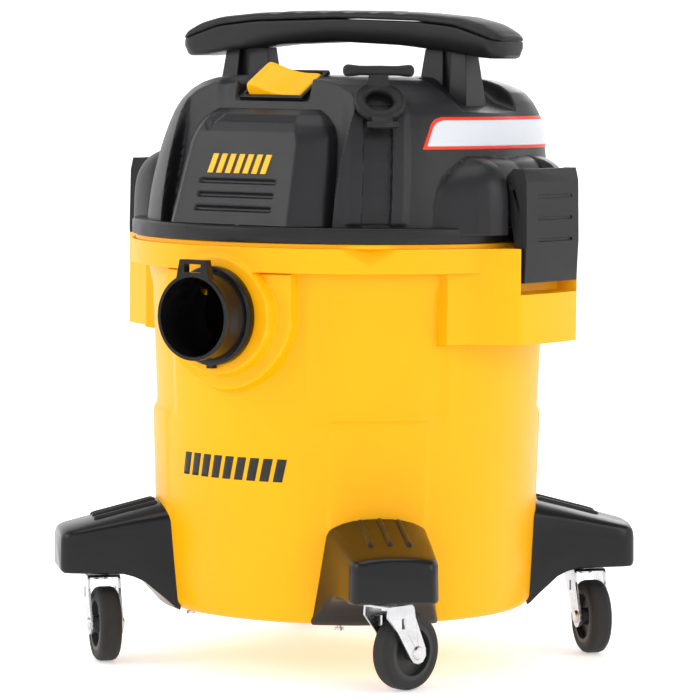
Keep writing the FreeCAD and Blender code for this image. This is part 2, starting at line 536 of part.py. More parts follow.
# Switch: bezel frame and module on the sloped facet, rocker on its own body.
SLOPE = Placement(V(0, -87.6, 463.0), Rotation(V(1, 0, 0), 30))
bz_out = box("bezel_out", 62, 43, 4.0, (-31, -21.5, 0.0))
bz_skirt = box("bezel_skirt", 56.8, 37.8, 8.6, (-28.4, -18.9, -8.2))
bz_sum = fuse("bezel_sum", bz_out, bz_skirt)
bz_in2 = box("bezel_in2", 55.0, 36.0, 40, (-27.5, -18.0, -20))
for o in (bz_out, bz_skirt, bz_in2):
    o.Placement = SLOPE.multiply(o.Placement)
bz = cut("switch_bezel", bz_sum, bz_in2)
node("switch_bezel", bz)


def to_slope(s):
    s = s.copy()
    s.Placement = SLOPE.multiply(s.Placement)
    return s


# rocker profile in the slope's own X-N plane, pivot at N = -5; left end raised, saddle top
rk_pts = [(-24.2, 12.2), (-22.6, 14.0), (-19, 13.6), (-10, 9.4), (2, 5.2), (14, 3.6), (22, 3.6), (25.6, 3.0), (26.4, 0.6), (24.6, -2.8), (13.5, -4.2), (7, -9.4), (-7, -9.4), (-13.5, -4.2), (-23.8, 2.0), (-24.4, 6.0)]
rk = Part.Face(Part.makePolygon([V(x, -17.4, z) for x, z in rk_pts] + [V(rk_pts[0][0], -17.4, rk_pts[0][1])])).extrude(V(0, 34.8, 0))
rk = rk.cut(Part.makeCylinder(2.58, 60, V(0, -30, -5), V(0, 1, 0)))
node("power_rocker", feature("power_rocker", to_slope(solid_of(rk))))
mod = Part.makeBox(40, 30, 14, V(-20, -15, -30))
for tx in (-12, 0, 12):  # terminal blades
    mod = mod.fuse(Part.makeBox(0.8, 6.3, 8, V(tx - 0.4, -3.15, -38)))
for sx in (-1, 1):  # side arms that clip to the bezel's skirt
    mod = mod.fuse(Part.makeBox(6, 8, 12, V(sx * 22.5 - 3, -4, -28)).fuse(Part.makeBox(2.4, 8, 8, V(sx * 26.9 - 1.2, -4, -16.2))).fuse(Part.makeBox(6, 8, 3, V(sx * 25.1 - 3, -4, -19))))
node("switch_module", feature("switch_module", to_slope(solid_of(mod))))
ROCKER_PIN = to_slope(Part.makeCylinder(2.5, 35.98, V(0, -17.99, -5), V(0, 1, 0)))


# Handle: posts and lower shell in one moulding, soft grip on top.
def spl(pts):
    c = Part.BSplineCurve()
    c.interpolate([V(x, 0, z) for x, z in pts])
    return c.toShape()


SEAM = [(-163.5, 500.2), (-152, 501.6), (-141, 505.2), (-117, 512.4), (-80, 516.2), (0, 518.2), (80, 516.2), (117, 512.4), (141, 505.2), (152, 501.6), (163.5, 500.2)]
UNDER = [(-155, 487.4), (-136, 488.4), (-109, 492.2), (-60, 497.2), (0, 499.6), (60, 497.2), (109, 492.2), (136, 488.4), (155, 487.4)]
TOP = [(-163.5, 501.4), (-156, 508.6), (-142, 516.4), (-120, 520.6), (-82, 523.2), (-45, 524.7), (0, 525.0), (45, 524.7), (82, 523.2), (120, 520.6), (142, 516.4), (156, 508.6), (163.5, 501.4)]


def plan_bar(h):
    """Rounded plan outline of the handle."""
    L, r = d.handle_half, 17.0
    base = Part.makeBox(2 * (L - r), 2 * h, 60, V(-L + r, -h, 475))
    mid = Part.makeBox(2 * L, 2 * (h - r), 60, V(-L, -h + r, 475))
    s = base.fuse(mid)
    for sx in (-1, 1):
        for sy in (-1, 1):
            s = s.fuse(Part.makeCylinder(r, 60, V(sx * (L - r), sy * (h - r), 475)))
    return s


w1 = Part.Wire([spl(SEAM), Part.makeLine(V(163.5, 0, 500.2), V(155, 0, 487.4)), spl(list(reversed(UNDER))), Part.makeLine(V(-155, 0, 487.4), V(-163.5, 0, 500.2))])
lower = Part.Face(w1).extrude(V(0, 60, 0)).translated(V(0, -30, 0)).common(plan_bar(d.handle_half_y))
# chamfered lower edges
for sy in (-1, 1):
    ch = Part.Face(Part.makePolygon([V(-200, sy * 17.5, 470), V(-200, sy * 17.5, 494), V(-200, sy * 26, 508.5), V(-200, sy * 40, 508.5), V(-200, sy * 40, 470), V(-200, sy * 17.5, 470)])).extrude(V(400, 0, 0))
    lower = lower.cut(ch)
w2 = Part.Wire([spl(SEAM), Part.makeLine(V(163.5, 0, 500.2), V(163.5, 0, 501.4)), spl(list(reversed(TOP))), Part.makeLine(V(-163.5, 0, 501.4), V(-163.5, 0, 500.2))])
grip = Part.Face(w2).extrude(V(0, 60, 0)).translated(V(0, -30, 0)).common(plan_bar(d.handle_half_y))
for sy in (-1, 1):
    ch = Part.Face(Part.makePolygon([V(-200, sy * 12, 540), V(-200, sy * 12, 525.6), V(-200, sy * 19, 522), V(-200, sy * 23.4, 514), V(-200, sy * 40, 514), V(-200, sy * 40, 540), V(-200, sy * 12, 540)])).extrude(V(400, 0, 0))
    grip = grip.cut(ch)
for k in range(6):
    grip = grip.cut(Part.makeCylinder(40, 15, V(-52 + 21 * k, -7.5, 563.6), V(0, 1, 0)))


def post(sg):
    """Two tapered legs side by side, joined by a thin recessed web."""
    z0, z1 = 440.0, 500.0

    def taper(xa0, xb0, xa1, xb1, h0, h1):
        return poly_loft([(xa0, -h0, z0), (xb0, -h0, z0), (xb0, h0, z0), (xa0, h0, z0)], [(xa1, -h1, z1), (xb1, -h1, z1), (xb1, h1, z1), (xa1, h1, z1)])

    o = taper(71.5, 99.0, 79.0, 95.0, 11.5, 6.0)
    o = o.fuse(taper(106.5, 125.0, 105.0, 118.0, 15.5, 8.0))
    o = o.fuse(taper(95.0, 110.0, 91.0, 108.0, 4.5, 3.5))
    if sg < 0:
        o = o.mirror(V(0, 0, 0), V(1, 0, 0))
    return o


dome_cutter = dome_solid()
for sg in (1, -1):
    dome_cutter = dome_cutter.cut(shoulder_cut(sg))
frame = lower
for sg in (1, -1):
    frame = frame.fuse(post(sg).cut(dome_cutter))
node("handle_frame", feature("handle_frame", solid_of(frame)))
node("handle_grip", feature("handle_grip", solid_of(grip)))

# Latches
lz0, lz1 = D["latch_low_z"], D["latch_top_z"]


def latch_shape():
    L = d.latch_half
    plate = side_prism([(d.latch_face_x - 3.5, lz0), (d.latch_face_x, lz0), (d.latch_face_x + 1.5, 345), (d.latch_face_x + 0.5, 392), (d.latch_face_x - 2, lz1), (d.latch_face_x - 5.0, lz1), (d.latch_face_x - 3.5, 392)], -L, L)
    fl = side_prism([(d.latch_face_x - 2, lz0), (d.latch_face_x - 9, lz0 + 4), (d.latch_face_x - 10, 345), (d.latch_face_x - 18, 378), (d.latch_face_x - 18, 396), (d.latch_face_x - 12, lz1), (d.latch_face_x - 3, lz1)], -L, -L + 3)
    fr = fl.translated(V(0, 2 * L - 3, 0))
    s = plate.fuse([fl, fr])
    s = s.fuse(Part.makeBox(7.6, 36, 3.5, V(185.4, -18, 316.5)))
    for k in range(3):
        z = 387 - 17 * k
        s = s.cut(Part.makeBox(2, 50, 2.4, V(d.latch_face_x + 0.1, -22, z - 8)))
    s = s.cut(Part.makeCylinder(d.latch_pin_rad + 0.08, 90, V(d.latch_pin_x, -45, d.latch_pin_z), V(0, 1, 0)))
    return solid_of(s)


lat = latch_shape()
node("latch_right", feature("latch_right", lat))
node("latch_left", feature("latch_left", lat, Placement(V(), Rotation(V(0, 0, 1), 180))))
PINS = [Part.makeCylinder(d.latch_pin_rad, 75.0, V(sg * d.latch_pin_x, -37.5, d.latch_pin_z), V(0, 1, 0)) for sg in (1, -1)]

# Hose strap on the front right corner: local X is radial, turned to -45 degrees.
STRAP = Rotation(V(0, 0, 1), -45)


def at_corner(s):
    s = s.copy()
    s.Placement = Placement(V(), STRAP).multiply(s.Placement)
    return s


half = D["strap_width"] / 2
stem = side_prism([sp(12.4, -2.2), sp(12.4, 2.6), sp(15.0, 6.0), sp(18.0, 13.0), sp(23.5, 11.0), sp(20.5, 4.0), sp(17.0, -0.6)], -half, half)
TB = sp(21.5, 12.6)
tbar = Part.makeCylinder(d.tbar_rad, 2 * d.tbar_half - 2 * d.tbar_rad, V(TB[0], -d.tbar_half + d.tbar_rad, TB[1]), V(0, 1, 0))
tbar = tbar.fuse([Part.makeSphere(d.tbar_rad, V(TB[0], s * (d.tbar_half - d.tbar_rad), TB[1])) for s in (-1, 1)])
eye = Part.makeCylinder(4.4, 16, V(PIVOT[0], -8, PIVOT[1]), V(0, 1, 0))
eye = eye.fuse(side_prism([sp(-23.5, -2.2), sp(-23.5, 4.2), sp(-13.0, 2.6), sp(-13.0, -2.6)], -8, 8))
ring = Part.makeTorus(14.8, 4.6)
ring.Placement = Placement(V(SC[0], 0, SC[1]), Rotation(V(0, 0, 1), V(sn[0], 0, sn[1])))
strap = stem.fuse([tbar, eye]).cut(Part.makeCylinder(2.58, 60, V(PIVOT[0], -30, PIVOT[1]), V(0, 1, 0)))
ringcut = Part.makeCylinder(12.6, 30, V(SC[0] - 15 * sn[0], 0, SC[1] - 15 * sn[1]), V(sn[0], 0, sn[1]))
strap = strap.cut(ring).cut(ringcut)
node("hose_strap", feature("hose_strap", at_corner(Part.makeCompound([q for q in strap.Solids if q.Volume > 50]))))
node("strap_ring", feature("strap_ring", at_corner(ring)))
PINS.append(at_corner(Part.makeCylinder(2.5, 25.0, V(PIVOT[0], -12.5, PIVOT[1]), V(0, 1, 0))))
PINS.append(ROCKER_PIN)
node("hinge_pins", feature("hinge_pins", Part.makeCompound(PINS)))

# Side plates (blank) on the shoulders
def side_plate(sg):
    outer = dome_solid(-0.9).cut(shoulder_cut(sg, -0.9))
    s = outer.cut(dome_cutter)
    win = Part.makeBox(60, 150, 26, V(115, -75, 417))
    s = s.common(win)
    s = sorted(s.Solids, key=lambda q: -q.Volume)[0]
    return s


node("side_plate", feature("side_plate", side_plate(1)))

# Blower port at the back
blow = revolve_body("blower_port", [
    ("dims.blower_bore_rad", "dims.blower_inner_y"), ("dims.blower_out_rad", "dims.blower_inner_y"), ("dims.blower_out_rad", 163.6),
    (37, 163.6), (37, 168), ("dims.blower_out_rad", 170), ("dims.blower_out_rad", "dims.blower_mouth_y"), ("dims.blower_bore_rad", "dims.blower_mouth_y")],
    Placement(V(0, 0, D["blower_z"]), Rotation(V(0, 0, 1), 180).multiply(Rotation(V(1, 0, 0), 90))))
node("blower_port", blow)
gland = revolve_body("cord_gland", [(3.6, 134), (8.0, 134), (8.0, 150.4), (11.0, 150.4), (10.0, 154), (7.2, 166), (3.6, 166)],
                     Placement(V(68, 0, 376), Rotation(V(0, 0, 1), 180).multiply(Rotation(V(1, 0, 0), 90))))
node("cord_gland", gland)

# ---------------------------------------------------------------- inside the head
fan = revolve_body("fan_housing", [
    (30, "dims.fan_low_z"), ("dims.fan_rad", "dims.fan_low_z"), ("dims.fan_rad", "dims.fan_top_z"), (14, "dims.fan_top_z"), (14, "dims.fan_top_z - 2"),
    ("dims.fan_rad - 2", "dims.fan_top_z - 2"), ("dims.fan_rad - 2", "dims.fan_low_z + 2"), (30, "dims.fan_low_z + 2")])
node("fan_housing", fan)
mount_ring = revolve_body("motor_mount_ring", [(34, "dims.plate_top_z"), (58, "dims.plate_top_z"), (58, "dims.fan_low_z"), (34, "dims.fan_low_z")])
node("motor_mount_ring", mount_ring)
stator = revolve_body("motor_stator", [(29.5, 398), ("dims.stator_rad", 398), ("dims.stator_rad", 434), (29.5, 434)])
node("motor_stator", stator)


def bracket():
    s = Part.makeCylinder(46, 2.5, V(0, 0, 386.0)).fuse(Part.makeCylinder(46, 54, V(0, 0, 386)).cut(Part.makeCylinder(43.0, 60, V(0, 0, 384))))
    s = s.fuse(Part.makeCylinder(46, 2.5, V(0, 0, 440)))
    s = s.fuse(Part.makeCylinder(12, 10, V(0, 0, 440)))
    s = s.cut(Part.makeCylinder(9.0, 80, V(0, 0, 380)))
    for k in range(6):
        a = math.radians(60 * k)
        w = Part.makeBox(20, 16, 30, V(34, -8, 401)).rotate(V(0, 0, 0), V(0, 0, 1), 60 * k)
        s = s.cut(w)
    return solid_of(s)


node("motor_frame", feature("motor_frame", bracket()))
bear = [Part.makeCylinder(9.0, 6, V(0, 0, z)).cut(Part.makeCylinder(d.shaft_rad + 0.05, 6, V(0, 0, z))) for z in (386.2, 442)]
node("motor_bearings", feature("motor_bearings", Part.makeCompound(bear)))
brushes = []
for sg in (1, -1):
    brushes.append(Part.makeBox(29.4, 8, 5.4, V(13.3 if sg > 0 else -42.7, -4, 434.3)))
node("brush_holders", feature("brush_holders", Part.makeCompound(brushes)))
node("rotor_shaft", cyl("rotor_shaft", "dims.shaft_rad", 90, (0, 0, 358.5)))
arm = revolve_body("armature", [("dims.shaft_rad", 400), (12, 400), (16, 402), ("dims.armature_rad", 404), ("dims.armature_rad", 428), (16, 431), (12, 433), ("dims.shaft_rad", 433)])
node("armature", arm)
comm = revolve_body("commutator", [("dims.shaft_rad", 434), (12.6, 434), (12.6, 440), ("dims.shaft_rad", 440)])
node("commutator", comm)
imp = revolve_body("impeller_hub", [("dims.shaft_rad", 357.5), (9, 357.5), (14, 376), (54, 378.4), (54, 380), ("dims.shaft_rad", 380)])
blades = []
for k in range(8):
    b = Part.makeBox(38, 1.2, 14, V(15.5, -0.6, 363.5)).rotate(V(15.5, 0, 0), V(0, 0, 1), 32).rotate(V(0, 0, 0), V(0, 0, 1), 45 * k)
    blades.append(b)
doc.recompute()
impeller = imp.Shape.copy().fuse([b.common(Part.makeCylinder(53.5, 40, V(0, 0, 350))) for b in blades])
imp_node = feature("impeller", solid_of(impeller.fuse(Part.makeCylinder(53.5, 1.6, V(0, 0, 376.9)).cut(Part.makeCylinder(10, 5, V(0, 0, 375))))))
node("impeller", imp_node)


# Filter cage, float and cartridge
def cage():
    s = Part.makeCylinder(d.cage_rad, 132.5, V(0, 0, d.cage_low_z)).cut(Part.makeCylinder(d.cage_rad - 2.6, 130, V(0, 0, d.cage_low_z + 3)))
    for k in range(8):
        w = Part.makeBox(60, 20, 84, V(20, -10, d.cage_low_z + 26)).rotate(V(0, 0, 0), V(0, 0, 1), 45 * k)
        s = s.cut(w)
    for k in range(6):
        w = Part.makeBox(20, 7, 10, V(14, -3.5, d.cage_low_z - 2)).rotate(V(0, 0, 0), V(0, 0, 1), 60 * k + 30)
        s = s.cut(w)
    s = s.cut(Part.makeCylinder(3.4, 20, V(0, 0, d.cage_low_z - 5)))
    return solid_of(s)


node("filter_cage", feature("filter_cage", cage()))
fl = revolve_body("float", [(0, "dims.float_z - 24"), (12, "dims.float_z - 24"), (22, "dims.float_z - 19"), (28, "dims.float_z - 10"), ("dims.float_rad", "dims.float_z"), (28, "dims.float_z + 10"),
                            (22, "dims.float_z + 19"), (12, "dims.float_z + 24"), (0, "dims.float_z + 24")])
node("float_ball", fl)

# pleated cartridge: zigzag ring
n = 48
pl = []
for k in range(n):
    for j, r in ((0, d.filter_out_rad - 2.0), (0.5, d.filter_in_rad + 3.6)):
        a = 2 * math.pi * (k + j) / n
        pl.append((r * math.cos(a), r * math.sin(a)))
pl2 = []
for k in range(n):
    for j, r in ((0, d.filter_out_rad - 4.6), (0.5, d.filter_in_rad + 1.0)):
        a = 2 * math.pi * (k + j) / n
        pl2.append((r * math.cos(a), r * math.sin(a)))
pleats = prism(pl, d.filter_low_z + 8, d.filter_top_z - 8).cut(prism(pl2, d.filter_low_z + 8, d.filter_top_z - 8))
node("cartridge_filter", feature("cartridge_filter", solid_of(pleats)))
caps = []
for z0 in (D["filter_low_z"], D["filter_top_z"] - 8):
    caps.append(Part.makeCylinder(d.filter_out_rad, 8, V(0, 0, z0)).cut(Part.makeCylinder(d.cage_rad + 0.4, 8, V(0, 0, z0))))
caps[1] = caps[1].fuse(Part.makeCylinder(d.cage_rad + 9, 6.5, V(0, 0, D["filter_top_z"])).cut(Part.makeCylinder(d.cage_rad + 0.4, 8, V(0, 0, D["filter_top_z"]))))
caps[1] = solid_of(caps[1])
node("filter_end_caps", feature("filter_end_caps", Part.makeCompound(caps)))
# clamp knob under the cage that holds the cartridge
clamp_k = Part.makeCylinder(62, 2.8, V(0, 0, 210.8)).fuse(Part.makeBox(58, 6, 14, V(-29, -3, 197.0))).fuse(Part.makeCylinder(9, 13.8, V(0, 0, 197.0)))
clamp_k = clamp_k.fuse(Part.makeCylinder(62, 10.8, V(0, 0, 210.8)).cut(Part.makeCylinder(59.5, 20, V(0, 0, 209))))
clamp_k = clamp_k.fuse(Part.makeCylinder(3.3, 10, V(0, 0, 209.4))).fuse(Part.makeCylinder(6.5, 2.2, V(0, 0, 217.3)))
node("filter_clamp", feature("filter_clamp", solid_of(clamp_k)))

# Screws that hold the cover to the lid base from below
cs = []
for k in range(6):
    a = math.radians(30 + 60 * k)
    x, y = 150 * math.cos(a), 150 * math.sin(a)
    s = Part.makeCylinder(2.0, 12, V(x, y, 344.0)).fuse(Part.makeCylinder(4.0, 2.4, V(x, y, 344.1)))
    cs.append(solid_of(s))
# lid base gets matching holes and the cover gets bosses
cv = cover.Shape.copy()
holes = []
for k in range(6):
    a = math.radians(30 + 60 * k)
    x, y = 150 * math.cos(a), 150 * math.sin(a)
    b = Part.makeCylinder(6.0, 14, V(x, y, 350.05)).fuse(Part.makeBox(14, 3, 14, V(0, -1.5, 0)).rotate(V(0, 0, 0), V(0, 0, 1), 30 + 60 * k).translated(V(x, y, 350.05)))
    b = b.common(dome_solid(0.5)).cut(Part.makeCylinder(2.0, 12, V(x, y, 349)))
    cv = cv.fuse(b)
rim_ring = Part.makeCylinder(180, 6.2, V(0, 0, 350.0)).cut(Part.makeCylinder(163.25, 8, V(0, 0, 349.0)))
cv = cv.cut(rim_ring)
cover.Shape = sorted(cv.Solids, key=lambda q: -q.Volume)[0]
pnl = NODES["front_panel"]
pnl.Shape = sorted(pnl.Shape.cut(cover.Shape).Solids, key=lambda q: -q.Volume)[0]
node("cover_screws", feature("cover_screws", Part.makeCompound(cs)))
lb_holes = Part.makeCompound([Part.makeCylinder(2.1, 8, V(150 * math.cos(math.radians(30 + 60 * k)), 150 * math.sin(math.radians(30 + 60 * k)), 345)) for k in range(6)])
hole_tool = feature("lid_holes", lb_holes)
lb = cut("lid_base_cut", lid_turn, hole_tool)
lid_turn.Label = "lid_turn"
node("lid_base", lb)
doc.recompute()

# ---------------------------------------------------------------- check and write
bad = [o.Name for o in doc.Objects if "Invalid" in o.State or "Error" in o.State]
if bad:
    raise SystemExit("failed objects: " + ", ".join(bad))
for name, obj in NODES.items():
    s = obj.Shape
    if s.isNull() or not s.isValid() or not s.Solids:
        raise SystemExit(f"node {name} has a bad shape: null {s.isNull()} valid {s.isValid() if not s.isNull() else None} solids {len(s.Solids)}")
for f in os.listdir("parts"):
    if f.endswith(".step") and f[:-5] not in NODES:
        os.remove(os.path.join("parts", f))
for name, obj in NODES.items():
    obj.Shape.exportStep(os.path.join("parts", name + ".step"))
    bb = obj.Shape.BoundBox
    print(f"{name:28s} solids {len(obj.Shape.Solids)} vol {obj.Shape.Volume/1000:9.2f} cm3  x {bb.XMin:7.1f}..{bb.XMax:7.1f} y {bb.YMin:7.1f}..{bb.YMax:7.1f} z {bb.ZMin:7.1f}..{bb.ZMax:7.1f}")
print("nodes", len(NODES))
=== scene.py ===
# Shop vacuum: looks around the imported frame.  Metres in Blender, millimetres in the helpers.
import bpy, bmesh, json, math
import numpy as np
from mathutils import Vector, Matrix


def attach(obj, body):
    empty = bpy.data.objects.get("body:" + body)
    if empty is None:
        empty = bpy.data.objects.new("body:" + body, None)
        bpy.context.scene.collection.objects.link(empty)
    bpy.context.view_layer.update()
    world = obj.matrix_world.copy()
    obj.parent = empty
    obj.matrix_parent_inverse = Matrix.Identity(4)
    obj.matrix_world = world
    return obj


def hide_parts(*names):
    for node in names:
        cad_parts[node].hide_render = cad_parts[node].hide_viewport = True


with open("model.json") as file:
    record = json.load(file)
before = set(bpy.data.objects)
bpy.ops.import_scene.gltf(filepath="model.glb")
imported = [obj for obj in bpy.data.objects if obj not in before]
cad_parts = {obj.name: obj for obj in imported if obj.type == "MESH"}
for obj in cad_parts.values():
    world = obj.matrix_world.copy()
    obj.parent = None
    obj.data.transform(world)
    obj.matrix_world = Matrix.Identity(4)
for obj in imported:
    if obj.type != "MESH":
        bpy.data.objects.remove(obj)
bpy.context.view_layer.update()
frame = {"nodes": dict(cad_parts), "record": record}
NODES = frame["nodes"]
scene = bpy.context.scene
MM = 0.001

# ------------------------------------------------------------------ camera, light, floor
A, PITCH, ROLL = math.radians(35.46), math.radians(4.38), math.radians(0.54)
right0 = Vector((math.cos(A), math.sin(A), 0))
fwd = Vector((-math.sin(A) * math.cos(PITCH), math.cos(A) * math.cos(PITCH), -math.sin(PITCH)))
up0 = right0.cross(fwd)
rt = (right0 * math.cos(ROLL) + up0 * math.sin(ROLL)).normalized()
up = (-right0 * math.sin(ROLL) + up0 * math.cos(ROLL)).normalized()
cam_data = bpy.data.cameras.new("camera")
cam = bpy.data.objects.new("camera", cam_data)
scene.collection.objects.link(cam)
m = Matrix((rt, up, -fwd)).transposed().to_4x4()
m.translation = Vector((3.2 * math.sin(A), -3.2 * math.cos(A), 0.494))
cam.matrix_world = m
cam_data.sensor_width = 36.0
cam_data.lens = 3934.0 / 700.0 * 36.0
cam_data.shift_x = 0.00416
cam_data.clip_start, cam_data.clip_end = 0.05, 60
scene.camera = cam


def area(name, loc, look, size, power, color=(1, 1, 1)):
    d = bpy.data.lights.new(name, "AREA")
    d.shape, d.size, d.size_y, d.energy, d.color = "RECTANGLE", size[0], size[1], power, color
    o = bpy.data.objects.new(name, d)
    scene.collection.objects.link(o)
    o.location = loc
    o.rotation_euler = (Vector(look) - Vector(loc)).to_track_quat("-Z", "Y").to_euler()
    return o


area("key_left", (-1.5, -1.9, 1.7), (0, 0, 0.28), (1.1, 1.5), 14.5)
area("fill_right", (2.4, 0.1, 1.2), (0, 0, 0.28), (0.9, 1.5), 8.5)
area("top_soft", (0.1, -0.2, 2.3), (0, 0, 0.3), (1.5, 1.5), 12.5)
area("rim_back", (-0.9, 1.9, 1.3), (0, 0, 0.35), (1.2, 1.0), 10)
scene.view_settings.view_transform = "Standard"
world = bpy.data.worlds.new("studio")
scene.world = world
world.use_nodes = True
world.node_tree.nodes["Background"].inputs["Color"].default_value = (0.93, 0.94, 0.95, 1)
world.node_tree.nodes["Background"].inputs["Strength"].default_value = 0.46


def stage_mesh():
    """Pale floor that curves up into a backdrop all round."""
    prof = [(0, 0), (2.5, 0), (4.5, 0.02), (5.6, 0.25), (6.4, 0.9), (6.9, 2.0), (7.1, 4.0), (7.1, 6.0)]
    n, vs, fs = 48, [], []
    for r, z in prof:
        for k in range(n):
            t = 2 * math.pi * k / n
            vs.append((r * math.cos(t), r * math.sin(t), z - 0.0004))
    for i in range(len(prof) - 1):
        for k in range(n):
            fs.append((i * n + k, i * n + (k + 1) % n, (i + 1) * n + (k + 1) % n, (i + 1) * n + k))
    me = bpy.data.meshes.new("floor")
    me.from_pydata(vs, [], fs)
    me.polygons.foreach_set("use_smooth", [True] * len(me.polygons))
    o = bpy.data.objects.new("floor", me)
    scene.collection.objects.link(o)
    return o


# ------------------------------------------------------------------ materials
def new_mat(name):
    mt = bpy.data.materials.new(name)
    mt.use_nodes = True
    nt = mt.node_tree
    nt.nodes.clear()
    out = nt.nodes.new("ShaderNodeOutputMaterial")
    b = nt.nodes.new("ShaderNodeBsdfPrincipled")
    nt.links.new(b.outputs[0], out.inputs[0])
    return mt, nt, b


def noise(nt, scale, detail=2.0, rough=0.5, stretch=None):
    tc = nt.nodes.new("ShaderNodeTexCoord")
    n = nt.nodes.new("ShaderNodeTexNoise")
    n.inputs["Scale"].default_value = scale
    n.inputs["Detail"].default_value = detail
    n.inputs["Roughness"].default_value = rough
    if stretch:
        mp = nt.nodes.new("ShaderNodeMapping")
        mp.inputs["Scale"].default_value = stretch
        nt.links.new(tc.outputs["Object"], mp.inputs[0])
        nt.links.new(mp.outputs[0], n.inputs["Vector"])
    else:
        nt.links.new(tc.outputs["Object"], n.inputs["Vector"])
    return n


def ramp(nt, src, lo, hi, a=0.3, b=0.7):
    r = nt.nodes.new("ShaderNodeValToRGB")
    r.color_ramp.elements[0].position, r.color_ramp.elements[1].position = a, b
    r.color_ramp.elements[0].color = (*lo, 1) if len(lo) == 3 else lo
    r.color_ramp.elements[1].color = (*hi, 1) if len(hi) == 3 else hi
    nt.links.new(src, r.inputs[0])
    return r


def moulded(name, col, rough=(0.3, 0.4), tex_scale=900.0, tex=0.12, vary=0.08, spec=0.5, coat=0.0, dist=0.0002):
    """Moulded plastic or rubber: slight colour drift, uneven gloss, fine grained skin, and a painted highlight that
    lightens sharp convex edges in noise patches.
    """
    mt, nt, b = new_mat(name)
    c = np.array(col)
    big = noise(nt, 9.0, 3.0)
    cr = ramp(nt, big.outputs["Fac"], tuple(c * (1 - vary)), tuple(np.minimum(c * (1 + vary), 1)))
    # painted highlight: convex edges (pointiness) are mixed towards a lighter copy of the colour, broken up by noise
    geo = nt.nodes.new("ShaderNodeNewGeometry")
    edge = ramp(nt, geo.outputs["Pointiness"], (0, 0, 0), (1, 1, 1), 0.515, 0.60)
    edge_highlight_noise = noise(nt, 120.0, 4.0)
    mul = nt.nodes.new("ShaderNodeMath"); mul.operation = "MULTIPLY"
    nt.links.new(edge.outputs[0], mul.inputs[0]); nt.links.new(edge_highlight_noise.outputs["Fac"], mul.inputs[1])
    mix = nt.nodes.new("ShaderNodeMix"); mix.data_type = "RGBA"
    mix.inputs[7].default_value = (*np.minimum(c * 1.25 + 0.012, 1), 1)
    nt.links.new(mul.outputs[0], mix.inputs[0]); nt.links.new(cr.outputs[0], mix.inputs[6])
    nt.links.new(mix.outputs[2], b.inputs["Base Color"])
    rn = noise(nt, 45.0, 4.0)
    mr = nt.nodes.new("ShaderNodeMapRange")
    mr.inputs["To Min"].default_value, mr.inputs["To Max"].default_value = rough
    nt.links.new(rn.outputs["Fac"], mr.inputs["Value"]); nt.links.new(mr.outputs[0], b.inputs["Roughness"])
    fine = noise(nt, tex_scale, 2.0)
    bp = nt.nodes.new("ShaderNodeBump")
    bp.inputs["Strength"].default_value = tex
    bp.inputs["Distance"].default_value = dist
    nt.links.new(fine.outputs["Fac"], bp.inputs["Height"]); nt.links.new(bp.outputs[0], b.inputs["Normal"])
    b.inputs["Specular IOR Level"].default_value = spec
    b.inputs["Coat Weight"].default_value = coat
    b.inputs["Coat Roughness"].default_value = 0.12
    return mt


def metal(name, col, rough=(0.18, 0.32), stretch=(1, 1, 14), scale=60.0, bump=0.05, vary=0.1):
    mt, nt, b = new_mat(name)
    c = np.array(col)
    s = noise(nt, scale, 5.0, 0.6, stretch)
    cr = ramp(nt, s.outputs["Fac"], tuple(c * (1 - vary)), tuple(np.minimum(c * (1 + vary), 1)))
    nt.links.new(cr.outputs[0], b.inputs["Base Color"])
    mr = nt.nodes.new("ShaderNodeMapRange")
    mr.inputs["To Min"].default_value, mr.inputs["To Max"].default_value = rough
    nt.links.new(s.outputs["Fac"], mr.inputs["Value"]); nt.links.new(mr.outputs[0], b.inputs["Roughness"])
    bp = nt.nodes.new("ShaderNodeBump")
    bp.inputs["Strength"].default_value, bp.inputs["Distance"].default_value = bump, 0.0002
    nt.links.new(s.outputs["Fac"], bp.inputs["Height"]); nt.links.new(bp.outputs[0], b.inputs["Normal"])
    b.inputs["Metallic"].default_value = 1.0
    return mt


